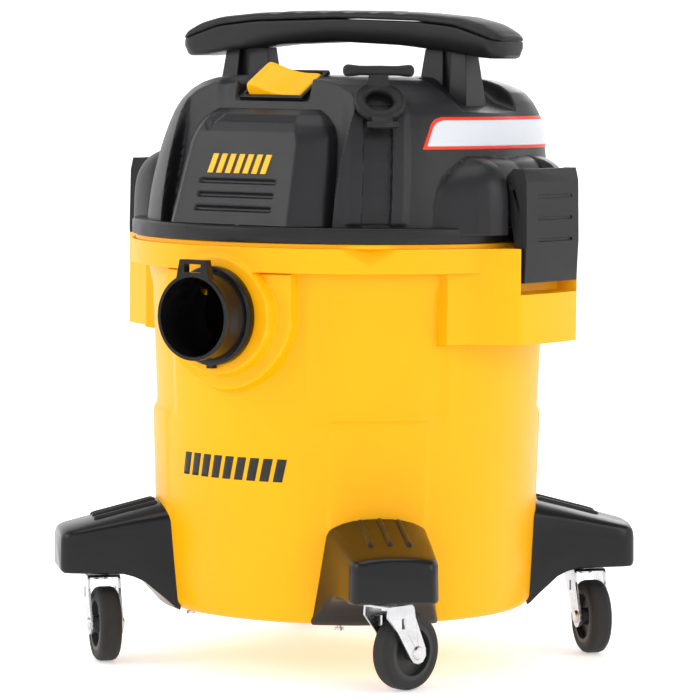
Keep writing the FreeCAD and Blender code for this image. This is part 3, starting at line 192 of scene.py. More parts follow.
M = {
    "tank_yellow": moulded("tank_yellow", (1.0, 0.445, 0.0), (0.30, 0.42), 700, 0.06, 0.03, 0.22),
    "black_abs": moulded("black_abs", (0.0065, 0.0065, 0.0075), (0.32, 0.42), 1100, 0.16, 0.12, 0.30),
    "satin_black": moulded("satin_black", (0.0085, 0.0085, 0.0100), (0.34, 0.44), 1300, 0.20, 0.12, 0.34),
    "gloss_black": moulded("gloss_black", (0.0035, 0.0035, 0.0040), (0.20, 0.28), 900, 0.06, 0.12, 0.30),
    "soft_black_rubber": moulded("soft_black_rubber", (0.0085, 0.0085, 0.0092), (0.46, 0.58), 1500, 0.30, 0.14, 0.30),
    "latch_black": moulded("latch_black", (0.0050, 0.0050, 0.0058), (0.34, 0.44), 1200, 0.16, 0.12, 0.28),
    "switch_yellow": moulded("switch_yellow", (1.0, 0.47, 0.0), (0.26, 0.36), 800, 0.05, 0.03, 0.26),
    "dark_moulding": moulded("dark_moulding", (0.03, 0.03, 0.032), (0.42, 0.52), 900, 0.2, 0.12, 0.4),
    "seal_rubber": moulded("seal_rubber", (0.012, 0.012, 0.012), (0.6, 0.7), 1300, 0.3, 0.1, 0.3),
    "steel": metal("steel", (0.62, 0.62, 0.64)),
    "zinc_steel": metal("zinc_steel", (0.60, 0.61, 0.63), (0.20, 0.34), (1, 1, 3), 40.0, 0.04, 0.12),
    "hub_grey": moulded("hub_grey", (0.018, 0.018, 0.019), (0.42, 0.52), 900, 0.15, 0.1, 0.4),
    "tyre": moulded("tyre", (0.020, 0.0195, 0.019), (0.55, 0.72), 1200, 0.3, 0.18, 0.25),
    "motor_iron": metal("motor_iron", (0.25, 0.25, 0.26), (0.4, 0.55), (1, 1, 60), 40.0, 0.3, 0.25),
    "copper": metal("copper", (0.80, 0.42, 0.24)),
    "aluminium": metal("aluminium", (0.78, 0.79, 0.80), (0.3, 0.42)),
    "filter_paper": moulded("filter_paper", (0.80, 0.78, 0.70), (0.85, 0.95), 260, 0.5, 0.06, 0.15),
    "filter_caps": moulded("filter_caps", (0.04, 0.04, 0.042), (0.55, 0.65), 800, 0.2, 0.1, 0.35),
    "float_white": moulded("float_white", (0.80, 0.80, 0.77), (0.4, 0.5), 600, 0.1, 0.04, 0.4),
    "plate": moulded("plate", (0.66, 0.68, 0.72), (0.34, 0.44), 700, 0.05, 0.03, 0.3),
    "stripe_black": moulded("stripe_black", (0.006, 0.006, 0.006), (0.36, 0.46), 900, 0.06, 0.08, 0.4),
    "stripe_yellow": moulded("stripe_yellow", (0.95, 0.42, 0.0), (0.36, 0.46), 900, 0.06, 0.05, 0.4),
    "stripe_red": moulded("stripe_red", (0.78, 0.05, 0.02), (0.36, 0.46), 900, 0.06, 0.05, 0.25),
}
M["floor"] = moulded("floor", (0.93, 0.93, 0.93), (0.6, 0.72), 30, 0.02, 0.01, 0.2)
floor_bsdf = [q for q in M["floor"].node_tree.nodes if q.type == "BSDF_PRINCIPLED"][0]
floor_bsdf.inputs["Emission Color"].default_value = (1, 1, 1, 1)
floor_bsdf.inputs["Emission Strength"].default_value = 0.42
floor = stage_mesh()
floor.data.materials.append(M["floor"])

SLOT = {s["node"]: s["material_slot"] for s in frame["record"]["subparts"]}
LOOK = {"lid_base": "black_abs", "inlet_port": "gloss_black", "switch_bezel": "gloss_black", "hinge_pins": "latch_black"}
for n, o in NODES.items():
    key = LOOK.get(n, SLOT[n])
    if n.startswith("leg_f") or n.startswith("leg_r"):
        key = "gloss_black"
    o.data.materials.clear()
    o.data.materials.append(M[key])

# ------------------------------------------------------------------ mesh helpers


def S(a, b, x):
    t = np.clip((np.asarray(x, float) - a) / (b - a), 0, 1)
    return t * t * (3 - 2 * t)


def quads(nr, nc, wrap=False):
    i = np.arange(nr - 1)[:, None]
    j = np.arange(nc if wrap else nc - 1)[None, :]
    k = (j + 1) % nc
    return np.stack([i * nc + j + 0 * k, i * nc + k, (i + 1) * nc + k, (i + 1) * nc + j], -1).reshape(-1, 4)


def make(name, verts, faces, body, mat, replaces=(), sharp=38.0, bevel=0.0, segs=2, subdiv=0, weld=0.0, angle=30.0):
    me = bpy.data.meshes.new(name)
    bm = bmesh.new()
    vs = [bm.verts.new(tuple(float(c) * MM for c in v)) for v in verts]
    for f in faces:
        ids = []
        for q in f:
            if q not in ids:
                ids.append(q)
        if len(ids) > 2:
            try:
                bm.faces.new([vs[q] for q in ids])
            except ValueError:
                pass
    if weld:
        bmesh.ops.remove_doubles(bm, verts=bm.verts, dist=weld * MM)
    bmesh.ops.dissolve_degenerate(bm, dist=1e-7, edges=bm.edges)
    loose = [v for v in bm.verts if not v.link_faces]
    bmesh.ops.delete(bm, geom=loose, context="VERTS")
    bmesh.ops.recalc_face_normals(bm, faces=bm.faces)
    bm.to_mesh(me)
    bm.free()
    me.polygons.foreach_set("use_smooth", [True] * len(me.polygons))
    me.set_sharp_from_angle(angle=math.radians(sharp))
    o = bpy.data.objects.new(name, me)
    scene.collection.objects.link(o)
    me.materials.append(M[mat])
    if bevel:
        b = o.modifiers.new("edges", "BEVEL")
        b.width, b.segments, b.limit_method, b.angle_limit = bevel * MM, segs, "ANGLE", math.radians(angle)
        b.harden_normals = True
    if subdiv:
        sb = o.modifiers.new("smooth", "SUBSURF")
        sb.levels = sb.render_levels = subdiv
    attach(o, body)
    if replaces:
        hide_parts(*replaces)
    return o


def soften(node, width, segs=2, angle=28):
    """Rounds the sharp edges of a carried-over piece without touching its mesh."""
    o = NODES[node]
    w = o.modifiers.new("join", "WELD")
    w.merge_threshold = 0.00002
    b = o.modifiers.new("edges", "BEVEL")
    b.width, b.segments, b.limit_method, b.angle_limit = width * MM, segs, "ANGLE", math.radians(angle)
    b.use_clamp_overlap = True
    b.harden_normals = True


def refine(base, *spans):
    """Sorted stations: a base list plus finer spans given as (start, end, step)."""
    allv = list(base)
    for a, b, st in spans:
        allv += list(np.arange(a, b + st * 0.5, st))
    v = np.array(sorted(allv))
    keep = [v[0]]
    for q in v[1:]:
        if q - keep[-1] > 0.04:
            keep.append(q)
    return np.array(keep)


def loft(rings, cap=True, closed=True):
    """Rings of equal length, joined into a skin, ends capped."""
    n = len(rings[0])
    vs = [p for r in rings for p in r]
    fs = [tuple(f) for f in quads(len(rings), n, closed)]
    if cap:
        fs.append(tuple(range(n)))
        fs.append(tuple(range((len(rings) - 1) * n, len(rings) * n)))
    return vs, fs


# ------------------------------------------------------------------ tank
def hull_line(points):
    """Radius against angle for a plan outline given as points."""
    al, rr = [], []
    for (x0, y0), (x1, y1) in zip(points[:-1], points[1:]):
        for t in np.linspace(0, 1, 40):
            x, y = x0 + (x1 - x0) * t, y0 + (y1 - y0) * t
            al.append(math.degrees(math.atan2(y, x)))
            rr.append(math.hypot(x, y))
    o = np.argsort(al)
    return np.array(al)[o], np.array(rr)[o]


HAL, HRR = hull_line([(197.3, 0), (197.0, 14), (196.1, 30), (195.0, 39.6), (193.8, 41.6), (192.4, 42.6), (161.5, 59.9), (159.4, 62.0), (150.0, 76.0), (141, 78)])


def tank_radius(phi, z):
    """phi in degrees from the inlet towards +X."""
    ph = np.radians(phi)
    base = np.interp(z, [47, 50, 53, 205, 318], [149.5, 151.2, 152, 157, 161.5])
    u, v = 165 * np.sin(ph), z - 286
    front = np.cos(ph) > 0.3
    a45 = (phi + 360) % 90 - 45  # angle from each corner
    # soft field between the inlet pad and the latch housing, and the flat that rises from each leg
    side = np.abs(a45)
    field = (1 - S(17.5, 21.5, side)) * S(196, 212, z) * (1 - S(300, 318, z))
    base = base - 2.6 * field
    legpad = (1 - S(13.6, 15.0, side)) * (1 - S(203, 205.4, z)) * S(108, 116, z)
    base = base + 0.9 * legpad
    r = base + (176.0 - 161.5) * S(319.2, 320.9, z)
    # scoop in the collar over each corner
    q = 176 * np.sin(np.radians(a45 + 4.0))
    bound = 326.5 + 13.5 * (np.abs(q) / 24.0) ** 1.15
    r = r - np.clip((z - bound) * 0.62, 0, 8.0) * S(319, 321, z) * (np.abs(phi - 41) < 20)
    # inlet pad and boss
    dd = np.where(v < 0, np.hypot(u, v), np.abs(u))
    rp = np.minimum(167.0 / np.maximum(np.cos(ph), 0.3), 172.5)
    mask = (1 - S(57.5, 62.0, dd)) * front * (1 - S(319.2, 320.6, z))
    r = r + np.maximum(rp - r, 0) * mask
    mask = (1 - S(45.0, 49.0, np.hypot(u, v))) * front
    r = r + np.maximum(177.9 / np.maximum(np.cos(ph), 0.3) - r, 0) * mask
    # latch housings
    al = np.degrees(np.arctan2(np.abs(np.cos(ph)), np.abs(np.sin(ph))))
    rh = np.interp(al, HAL, HRR)
    hm = S(262.9, 264.9, z) * (al < 27.5)
    r = r + np.maximum(rh - r, 0) * hm
    nm = (1 - S(11.55, 11.85, al)) * S(304.0, 305.0, z)
    r = r + (179.0 / np.maximum(np.cos(np.radians(al)), 0.5) - r) * nm
    return r


def build_tank():
    phis = refine(np.arange(-180, 180, 1.0), (-24, 24, 0.45), (24, 62, 0.8), (63, 117, 0.5), (-117, -63, 0.5), (77.4, 79.2, 0.15), (100.8, 102.6, 0.15), (-79.2, -77.4, 0.15), (-102.6, -100.8, 0.15))
    phis = phis[phis < 179.97]
    wall = refine(list(np.arange(56, 318, 3.0)) + [53], (126, 134, 1.0), (201, 208, 0.8), (222, 319, 1.25), (262.4, 265.4, 0.35), (303.6, 305.4, 0.3), (318.8, 321.4, 0.3), (322, 339, 0.9))
    prof = [("f", 0, 44), ("f", 70, 44), ("f", 136, 44), ("f", 142, 44.1), ("f", 146, 44.9), ("f", 148.6, 46.3), ("f", 150.6, 48.8), ("f", 151.7, 51)]
    prof += [("w", 0, z) for z in wall] + [("w", 0, 339.4), ("t", -0.25, 339.85), ("t", -0.8, 340.0)]
    prof += [("f", 172.5, 340.0), ("f", 172.5, 343.1), ("f", 172.1, 343.5), ("f", 168.9, 343.5), ("f", 168.5, 343.1), ("f", 168.5, 323.5), ("f", 158.4, 318)]
    prof += [("f", float(np.interp(z, [54, 205, 318], [148.8, 153.8, 158.3])), z) for z in (300, 260, 220, 205, 150, 100, 54)] + [("f", 145, 49.6), ("f", 141, 47.6), ("f", 70, 47.6), ("f", 0, 47.6)]
    ph = phis
    vs = []
    for kind, r, z in prof:
        if kind == "w":
            rr = tank_radius(ph, np.full_like(ph, z))
        elif kind == "t":
            rr = tank_radius(ph, np.full_like(ph, 339.4)) + r
        else:
            rr = np.full_like(ph, r)
        vs.append(np.stack([rr * np.sin(np.radians(ph)), -rr * np.cos(np.radians(ph)), np.full_like(ph, z)], -1))
    V = np.concatenate(vs)
    F = quads(len(prof), len(ph), True)
    c = V[F].mean(1)
    hole = (np.hypot(c[:, 0], c[:, 2] - 286) < 34.4) & (c[:, 1] < -60)
    F = F[~hole]
    return make("tank_shell", V, F.tolist(), "tank", "tank_yellow", tuple(q for q in ("drum", "latch_housings") if q in NODES), sharp=42, weld=0.0)


tank = build_tank()

# ------------------------------------------------------------------ motor cover
DOME = np.array([(163.2, 350.3), (163.2, 356.2), (161.9, 368), (160.2, 380), (157.6, 393), (154.2, 407), (150.2, 420.5), (146.2, 432), (141.5, 443), (136.0, 452), (128.0, 460.3), (119.5, 465.8), (109, 469.6), (96, 471.7), (80, 472.3), (60, 472.5), (40, 472.5), (20, 472.5), (0, 472.5)])
SCX, SCZ = 140.5, 453.0
SS, SN = (-0.66, 0.7513), (0.7513, 0.66)


def build_cover():
    seg = np.r_[0, np.cumsum(np.hypot(np.diff(DOME[:, 0]), np.diff(DOME[:, 1])))]
    t = refine(np.arange(0, seg[-1], 1.5), )
    t = np.r_[t[t < seg[-1] - 0.5], seg[-1]]
    R = np.interp(t, seg, DOME[:, 0])
    Z = np.interp(t, seg, DOME[:, 1])
    for _ in range(2):
        R[3:-3] = (R[2:-4] + 2 * R[3:-3] + R[4:-2]) / 4
        Z[3:-3] = (Z[2:-4] + 2 * Z[3:-3] + Z[4:-2]) / 4
    phi = refine(np.arange(-180, 180, 0.8), (-36, 36, 0.5), (36, 56, 0.3), (58, 122, 0.4), (-122, -58, 0.4))
    phi = phi[phi < 179.97]
    P, RR = np.meshgrid(np.radians(phi), R)
    _, ZZ = np.meshgrid(phi, Z)
    rear = np.exp(-((np.abs(np.degrees(P)) - 132) / 24.0) ** 4)
    RR = RR + rear * np.interp(ZZ, [356, 385, 410, 441, 460, 470], [0, 2.0, 6.5, 12.5, 14, 8]) * S(40, 110, RR)
    X, Y, Zz = RR * np.sin(P), -RR * np.cos(P), ZZ.copy()
    # shoulders fall away under the handle posts
    ax = np.abs(X)
    lim = np.interp(ax, [84, 90, 118, 136, 150, 200], [473, 470.5, 451.5, 446.0, 441.0, 430])
    my = 1 - S(34, 56, np.abs(Y))
    Zz = np.minimum(Zz, lim + (1 - my) * 34)
    # front field behind the panel, with a soft lobe round it
    fr = (Y < 0)
    seat = -131.5 + (Zz - 350) * 24.2 / 96.4
    mx = 1 - S(80.5, 84.5, np.abs(X))
    Y = np.where(fr & (Y < seat), Y + (seat - Y) * mx, Y)
    # slope that carries the switch
    sl = 462.9 + (Y + 87.6) * math.tan(math.radians(30))
    ms = (1 - S(34, 37.5, np.abs(X))) * fr
    Zz = np.where(Zz > sl, Zz + (sl - Zz) * ms, Zz)
    # scooped hollow on the left of the switch
    hx = np.clip((np.hypot((X + 46) / 17.0, (Y + 88) / 21.0)), 0, 1)
    Zz = Zz - 5.0 * (1 - S(0.55, 1.0, hx)) * fr
    # raised band and channel of the hose strap on the front right corner
    a = np.radians(45)
    rad = X * math.sin(a) - Y * math.cos(a)
    tan = X * math.cos(a) + Y * math.sin(a)
    mid = np.interp(Zz, [356, 441, 453], [-6.0, -1.5, 0.0])
    on = rad > 60
    band = (1 - S(20, 27, np.abs(tan - mid))) * S(356, 360, Zz) * on
    lift = 1.6 * band * (1 - S(445, 462, Zz))
    ch = (1 - S(11.0, 11.7, np.abs(tan - mid))) * S(357.5, 359.0, Zz) * (1 - S(449, 452, Zz)) * on
    lift = lift - 4.6 * ch
    X, Y = X + lift * math.sin(a), Y - lift * math.cos(a)
    rad = X * math.sin(a) - Y * math.cos(a)
    pa = (rad - SCX) * SS[0] + (Zz - SCZ) * SS[1]
    pb = (rad - SCX) * SN[0] + (Zz - SCZ) * SN[1]
    pm = (1 - S(20.6, 21.9, np.abs(tan))) * S(-27, -24, pa) * (1 - S(20.5, 22.5, pa)) * on
    d = np.maximum(pb + 5.6, 0) * pm
    X, Y, Zz = X - d * SN[0] * math.sin(a), Y + d * SN[0] * math.cos(a), Zz - d * SN[1]
    # humps behind the latches
    rr = np.hypot(X, Y)
    al = np.degrees(np.arctan2(np.abs(Y), np.abs(X)))
    plan = np.interp(al, [0, 12.1, 12.5, 15, 18, 21, 24, 27, 31], [169.6, 173.4, 187.0, 187.5, 187.0, 184.5, 180.5, 176.0, 170.0])
    crest = np.interp(al, [0, 12, 17, 31], [58.0, 61.0, 64.0, 60.0])
    far = (np.clip(al / 30.5, 0, 2) ** 3.2 + np.clip((Zz - 350) / crest, 0, 2) ** 3.2) ** (1 / 3.2)
    rise = np.clip(1 - far ** 5, 0, 1) ** 0.6
    new = rr + np.maximum(plan - rr, 0) * rise
    k = np.where(rr > 1, new / np.maximum(rr, 1), 1)
    X, Y = X * k, Y * k
    # cooling slots at the back
    V = np.stack([X, Y, Zz], -1).reshape(-1, 3)
    F = quads(len(t), len(phi), True)
    c = V[F].mean(1)
    slot = (np.abs(np.abs(c[:, 0]) - 62) < 13) & (c[:, 1] > 100) & (c[:, 2] > 395) & (c[:, 2] < 436) & (np.mod(c[:, 2] - 396, 9) < 3.2)
    port = (np.hypot(c[:, 0], c[:, 2] - 398) < 32.6) & (c[:, 1] > 100)
    F = F[~(slot | port)]
    o = make("cover_shell", V, F.tolist(), "power_head", "satin_black", ("motor_cover",), sharp=46)
    so = o.modifiers.new("wall", "SOLIDIFY")
    so.thickness, so.offset = 0.0022, -1
    return o


cover = build_cover()


def build_panel():
    xs = np.linspace(-1, 1, 121)
    zs = refine(np.arange(356.5, 446.5, 1.0), (364, 371, 0.4), (375.5, 382, 0.4), (387, 394, 0.4), (430, 446.4, 0.6))
    W = np.interp(zs, [356.4, 400, 424, 434, 441, 446.5], [79, 74.5, 70, 65.5, 59, 50])
    U, Zg = np.meshgrid(xs, zs)
    Wg = np.repeat(W[:, None], len(xs), 1)
    X = U * Wg
    yc = np.interp(zs, [356.4, 428, 436, 442, 446.5], [-160, -138.8, -134.5, -127.5, -117])
    ysd = np.interp(zs, [356.4, 432, 446.5], [-131.5, -116.5, -109.5])
    xb = np.interp(zs, [356.4, 420, 434, 446.5], [55, 50, 45, 38])
    Yc, Ys, Xb = (np.repeat(q[:, None], len(xs), 1) for q in (yc, ysd, xb))
    t = np.clip((np.abs(X) - Xb) / (Wg - Xb), 0, 1)
    Y = Yc + (Ys - Yc) * (t ** 1.25)
    # rounded rim
    Y = Y + 7.0 * S(0.93, 1.0, np.abs(U)) ** 1.5
    # top left triangular facet
    tri = np.clip(1 - (np.abs(X + 38) / 9.0 + np.maximum(440 - Zg, 0) / 12.0), 0, 1)
    Y = Y + 3.2 * S(0, 0.5, tri)
    # louvre steps
    for zz in (368.2, 378.9, 389.6):
        inx = (1 - S(35.5, 37.5, np.abs(X)))
        Y = Y + inx * 2.6 * S(zz - 2.0, zz - 1.2, Zg) * (1 - S(zz - 0.2, zz + 3.2, Zg))
    V = np.stack([X, Y, Zg], -1).reshape(-1, 3)
    n, m = len(zs), len(xs)
    F = quads(n, m).tolist()
    ring = [j for j in range(m)] + [i * m + m - 1 for i in range(1, n)] + [(n - 1) * m + j for j in range(m - 2, -1, -1)] + [i * m for i in range(n - 2, 0, -1)]
    vs = V.tolist()
    base = len(vs)
    for q in ring:
        x, y, z = vs[q]
        vs.append([x, max(-131.2 + (z - 350) * 24.2 / 96.4, y + 0.4), z])
    L = len(ring)
    for i in range(L):
        F.append([ring[i], ring[(i + 1) % L], base + (i + 1) % L, base + i])
    o = make("front_cover", vs, F, "power_head", "satin_black", ("front_panel",), sharp=33)
    return o


panel = build_panel()


def panel_y(x, z):
    yc = np.interp(z, [356.4, 428, 436, 442, 446.5], [-160, -138.8, -134.5, -127.5, -117])
    return float(yc)


def badge():
    """Plain badge on the panel: a row of slanted yellow bars."""
    vs, fs = [], []
    for k in range(7):
        x0 = -29 + 8.6 * k
        w, h = 5.2, 7.5
        b = len(vs)
        zc = 403.5
        pts = [(x0 - 1.6, zc - h), (x0 + w - 1.6, zc - h), (x0 + w + 1.6, zc + h), (x0 + 1.6, zc + h)]
        for dy in (0.3, -0.9):
            for x, z in pts:
                vs.append((x, panel_y(x, z) + dy, z))
        fs += [(b, b + 1, b + 2, b + 3), (b + 4, b + 7, b + 6, b + 5)]
        fs += [(b + i, b + (i + 1) % 4, b + 4 + (i + 1) % 4, b + 4 + i) for i in range(4)]
    return make("front_bars", vs, fs, "power_head", "stripe_yellow", bevel=0.25)


badge()


# ------------------------------------------------------------------ handle
SEAM = [(0, 518.2), (80, 516.2), (117, 512.4), (141, 505.2), (152, 501.6), (163.5, 500.2)]
UNDER = [(0, 499.6), (60, 497.2), (109, 492.2), (134, 488.2), (150, 487.0), (156, 487.6), (158.6, 490.0)]
TOP = [(0, 525.0), (45, 524.7), (82, 523.2), (118, 520.2), (138, 515.6), (150, 509.6), (156, 505.4), (158.6, 502.6)]


def curve(pts, x):
    p = np.array(pts)
    f = np.interp(x, p[:, 0], p[:, 1])
    g = (np.interp(x - 4, p[:, 0], p[:, 1]) + np.interp(x + 4, p[:, 0], p[:, 1]) + 2 * f) / 4 if x > 4 and x < 158 else f
    return float(g)


def half_w(ax):
    return 23.0 if ax < 144.0 else 9.0 + 14.0 * math.sqrt(max(0.0, 1 - ((ax - 144.0) / 14.8) ** 2))


def build_handle():
    xs = np.r_[-158.6, -158.2, np.arange(-157, -138, 1.4), np.arange(-138, 139, 2.0), np.arange(139, 157.5, 1.4), 158.2, 158.6]
    low, top = [], []
    for x in xs:
        ax = abs(x)
        h, zs, zb, zt = half_w(ax), curve(SEAM, ax), curve(UNDER, ax), curve(TOP, ax)
        k = h / 23.0
        s = zs - 0.35
        low.append([(x, y * k, z) for y, z in ((22.0, s), (23, s - 0.9), (23, s - 3.4), (22.6, (s + zb) / 2 + 0.4), (19.2, zb + 3.4), (17.6, zb + 1.2), (15.2, zb), (6, zb), (-6, zb), (-15.2, zb), (-17.6, zb + 1.2), (-19.2, zb + 3.4), (-22.6, (s + zb) / 2 + 0.4), (-23, s - 3.4), (-23, s - 0.9), (-22.0, s), (-8, s), (8, s))])
        g = zs + 0.35
        hh = max(zt - g, 1.6)
        dimp = 0.0
        for c in range(6):
            cx = -62 + 24.5 * c
            dimp = max(dimp, math.exp(-((x - cx) / 5.4) ** 4))
        dd = 1.6 * dimp
        top.append([(x, y * k, z) for y, z in ((-8, g), (-21.6, g), (-22.9, g + min(0.8, hh * 0.3)), (-23, g + hh * 0.42), (-21.4 + dd * 0.4, g + hh * 0.68), (-17.4 + dd * 0.6, g + hh * 0.87 - dd * 0.5), (-11.5, g + hh * 0.96 - dd), (-5, g + hh - dd * 0.6), (0, g + hh), (5, g + hh - dd * 0.6), (11.5, g + hh * 0.96 - dd), (17.4 - dd * 0.6, g + hh * 0.87 - dd * 0.5), (21.4 - dd * 0.4, g + hh * 0.68), (23, g + hh * 0.42), (22.9, g + min(0.8, hh * 0.3)), (21.6, g), (8, g))])
    vs, fs = loft(low)
    make("handle_bar", vs, fs, "power_head", "satin_black", ("handle_frame",), sharp=50, bevel=0.4, segs=2, angle=40)
    vs, fs = loft(top)
    make("handle_soft_grip", vs, fs, "power_head", "soft_black_rubber", ("handle_grip",), sharp=60)
    # posts
    for sg, nm in ((1, "right"), (-1, "left")):
        vs, fs = [], []
        for xa0, xb0, xa1, xb1, h0, h1, zl in ((71.5, 99.0, 79.0, 95.0, 11.5, 6.0, 452), (106.5, 125.0, 105.0, 118.0, 15.5, 8.0, 442.5), (95.0, 110.0, 91.0, 108.0, 4.5, 3.5, 446)):
            rings = []
            for z in (zl, 470, 485, 494.5):
                f = (z - 440) / 60.0
                xa, xb, h = xa0 + (xa1 - xa0) * f, xb0 + (xb1 - xb0) * f, h0 + (h1 - h0) * f
                rings.append([(sg * xa, -h, z), (sg * xb, -h, z), (sg * xb, h, z), (sg * xa, h, z)])
            v, f_ = loft(rings)
            b = len(vs)
            vs += v
            fs += [tuple(q + b for q in ff) for ff in f_]
        make("handle_post_" + nm, vs, fs, "power_head", "satin_black", sharp=35, bevel=0.8, segs=3)


build_handle()


# ------------------------------------------------------------------ rocker
def build_rocker():
    top = [(-24.3, 9.0), (-23.6, 12.4), (-21.8, 13.9), (-18.5, 13.6), (-13, 11.4), (-6, 8.2), (2, 5.5), (10, 4.2), (17, 4.0), (22.5, 4.1), (25.0, 3.4), (26.2, 1.2)]
    bot = [(-24.0, 3.0), (-23.0, 1.6), (-20, 0.0), (-17, -2.0), (-13.5, -4.0), (-6.5, -8.8), (2, -8.8), (8, -7.2), (13.5, -4.0), (20, -3.2), (23.5, -2.8), (25.4, -1.2)]
    rings = []
    for y, sx, sz in ((-17.4, 0.955, -1.5), (-17.1, 0.985, -0.6), (-16.0, 1.0, -0.1), (-12, 1.0, 0), (-6, 1, 0.0), (0, 1, 0), (6, 1, 0.0), (12, 1.0, 0), (16.0, 1.0, -0.1), (17.1, 0.985, -0.6), (17.4, 0.955, -1.5)):
        dish = -0.7 * (1 - (y / 17.4) ** 2)
        rings.append([(x * sx, y, z + sz + dish * max(0, 1 - abs(x) / 22)) for x, z in top] + [(x * sx, y, z - sz * 0.5) for x, z in reversed(bot)])
    vs, fs = loft(rings)
    c, s = math.cos(math.radians(30)), math.sin(math.radians(30))
    vs = [(x, -87.6 + y * c - z * s, 463.0 + y * s + z * c) for x, y, z in vs]
    return make("rocker_cap", vs, fs, "rocker", "switch_yellow", ("power_rocker",), sharp=60, subdiv=1)


build_rocker()


# ------------------------------------------------------------------ legs
def build_leg(name, ang):
    ca, sa = math.cos(math.radians(ang)), math.sin(math.radians(ang))
    rs = np.r_[150.2, 153, 156, 160, 165, 171, 178, 186, 195, 204, 213, 220, 225, 228, 230, 231.6, 233, 234.1, 234.9, 235.5, 235.9]
    rings = []
    for r in rs:
        zt = float(np.interp(r, [143.6, 160, 228, 231.5, 234, 235.2, 236], [131.8, 127.6, 109.8, 108.7, 107.2, 105.6, 103.0]))
        drop = float(np.interp(r, [150, 236], [10.5, 4.5]))
        nose = math.sqrt(max(0.0, 1 - (max(r - 224.0, 0) / 12.6) ** 2))
        wt = float(np.interp(r, [150, 170, 236], [39.5, 37.5, 32.5])) - 9.5 * (1 - nose)
        wb = float(np.interp(r, [150, 158, 172, 190, 236], [50.5, 47.0, 41.0, 37.5, 34.3])) - 9.5 * (1 - nose)
        zb = float(np.interp(r, [150.2, 153, 160.5, 171, 182, 233.5, 236], [44.2, 46, 54.5, 66, 71.8, 72.4, 74.5]))
        back = 1 - float(S(152, 182, r))
        half = [(0, zt), (0.25 * wt, zt - 0.03 * drop), (0.5 * wt, zt - 0.15 * drop), (0.7 * wt, zt - 0.36 * drop), (0.84 * wt, zt - 0.60 * drop), (0.93 * wt, zt - 0.80 * drop),
                (0.975 * wt, zt - 0.96 * drop), (wt + 0.1, zt - 1.18 * drop - 0.4), (wt + 0.9, zt - 1.18 * drop - 2.2)]
        z1 = zt - 1.18 * drop - 2.2
        half += [(wt + 0.9 + (wb - wt - 0.9) * f, z1 + (zb + 3.2 - z1) * f) for f in (0.33, 0.66, 1.0)]
        half += [(wb - 0.2, zb + 1.2), (wb - 1.2, zb + 0.2), (wb - 3.0, zb), (0.4 * wb, zb), (0, zb)]
        ring = half + [(-t, z) for t, z in reversed(half[1:-1])]
        pts = []
        for t, z in ring:
            rr = r - back * (152.0 - math.sqrt(152.0 ** 2 - t * t))
            pts.append((rr * ca - t * sa, rr * sa + t * ca, z))
        rings.append(pts)
    vs, fs = loft(rings)
    make(name, vs, fs, "tank", "gloss_black", (name.replace("_shell", ""),), sharp=50)
    # three long ribs along the top
    vs, fs = [], []
    for t0 in (-15.0, 0.0, 15.0):
        rr_, ht = [], []
        st = np.r_[157, 158.2, 160, np.arange(164, 203, 4.0), 205, 207.2, 208.2]
        base = []
        for r in st:
            zt = float(np.interp(r, [143.6, 160, 228], [131.8, 127.6, 109.8]))
            drop = float(np.interp(r, [150, 236], [10.5, 4.5]))
            wt = float(np.interp(r, [150, 170, 236], [39.5, 37.5, 32.5]))
            u = abs(t0) / wt
            z0 = zt - drop * float(np.interp(u, [0, 0.25, 0.5], [0, 0.03, 0.15]))
            e = min(1.0, (r - 156.6) / 2.5, (208.6 - r) / 2.0)
            h = 2.2 * math.sqrt(max(e, 0.02))
            base.append([(r, t0 + q * 1.0, z0 + w) for q, w in ((-2.3, -1.2), (-2.0, 0.35 * h), (-1.1, 0.86 * h), (0, h), (1.1, 0.86 * h), (2.0, 0.35 * h), (2.3, -1.2))])
        rings = [[(r * ca - t * sa, r * sa + t * ca, z) for r, t, z in ring] for ring in base]
        v, f = loft(rings)
        b = len(vs)
        vs += v
        fs += [tuple(q + b for q in ff) for ff in f]
    make(name.replace("_shell", "_ribs"), vs, fs, "tank", "black_abs", sharp=60)


for leg_name, leg_ang in (("leg_front_right", -45), ("leg_front_left", -135), ("leg_rear_left", 135), ("leg_rear_right", 45)):
    build_leg(leg_name + "_shell", leg_ang)


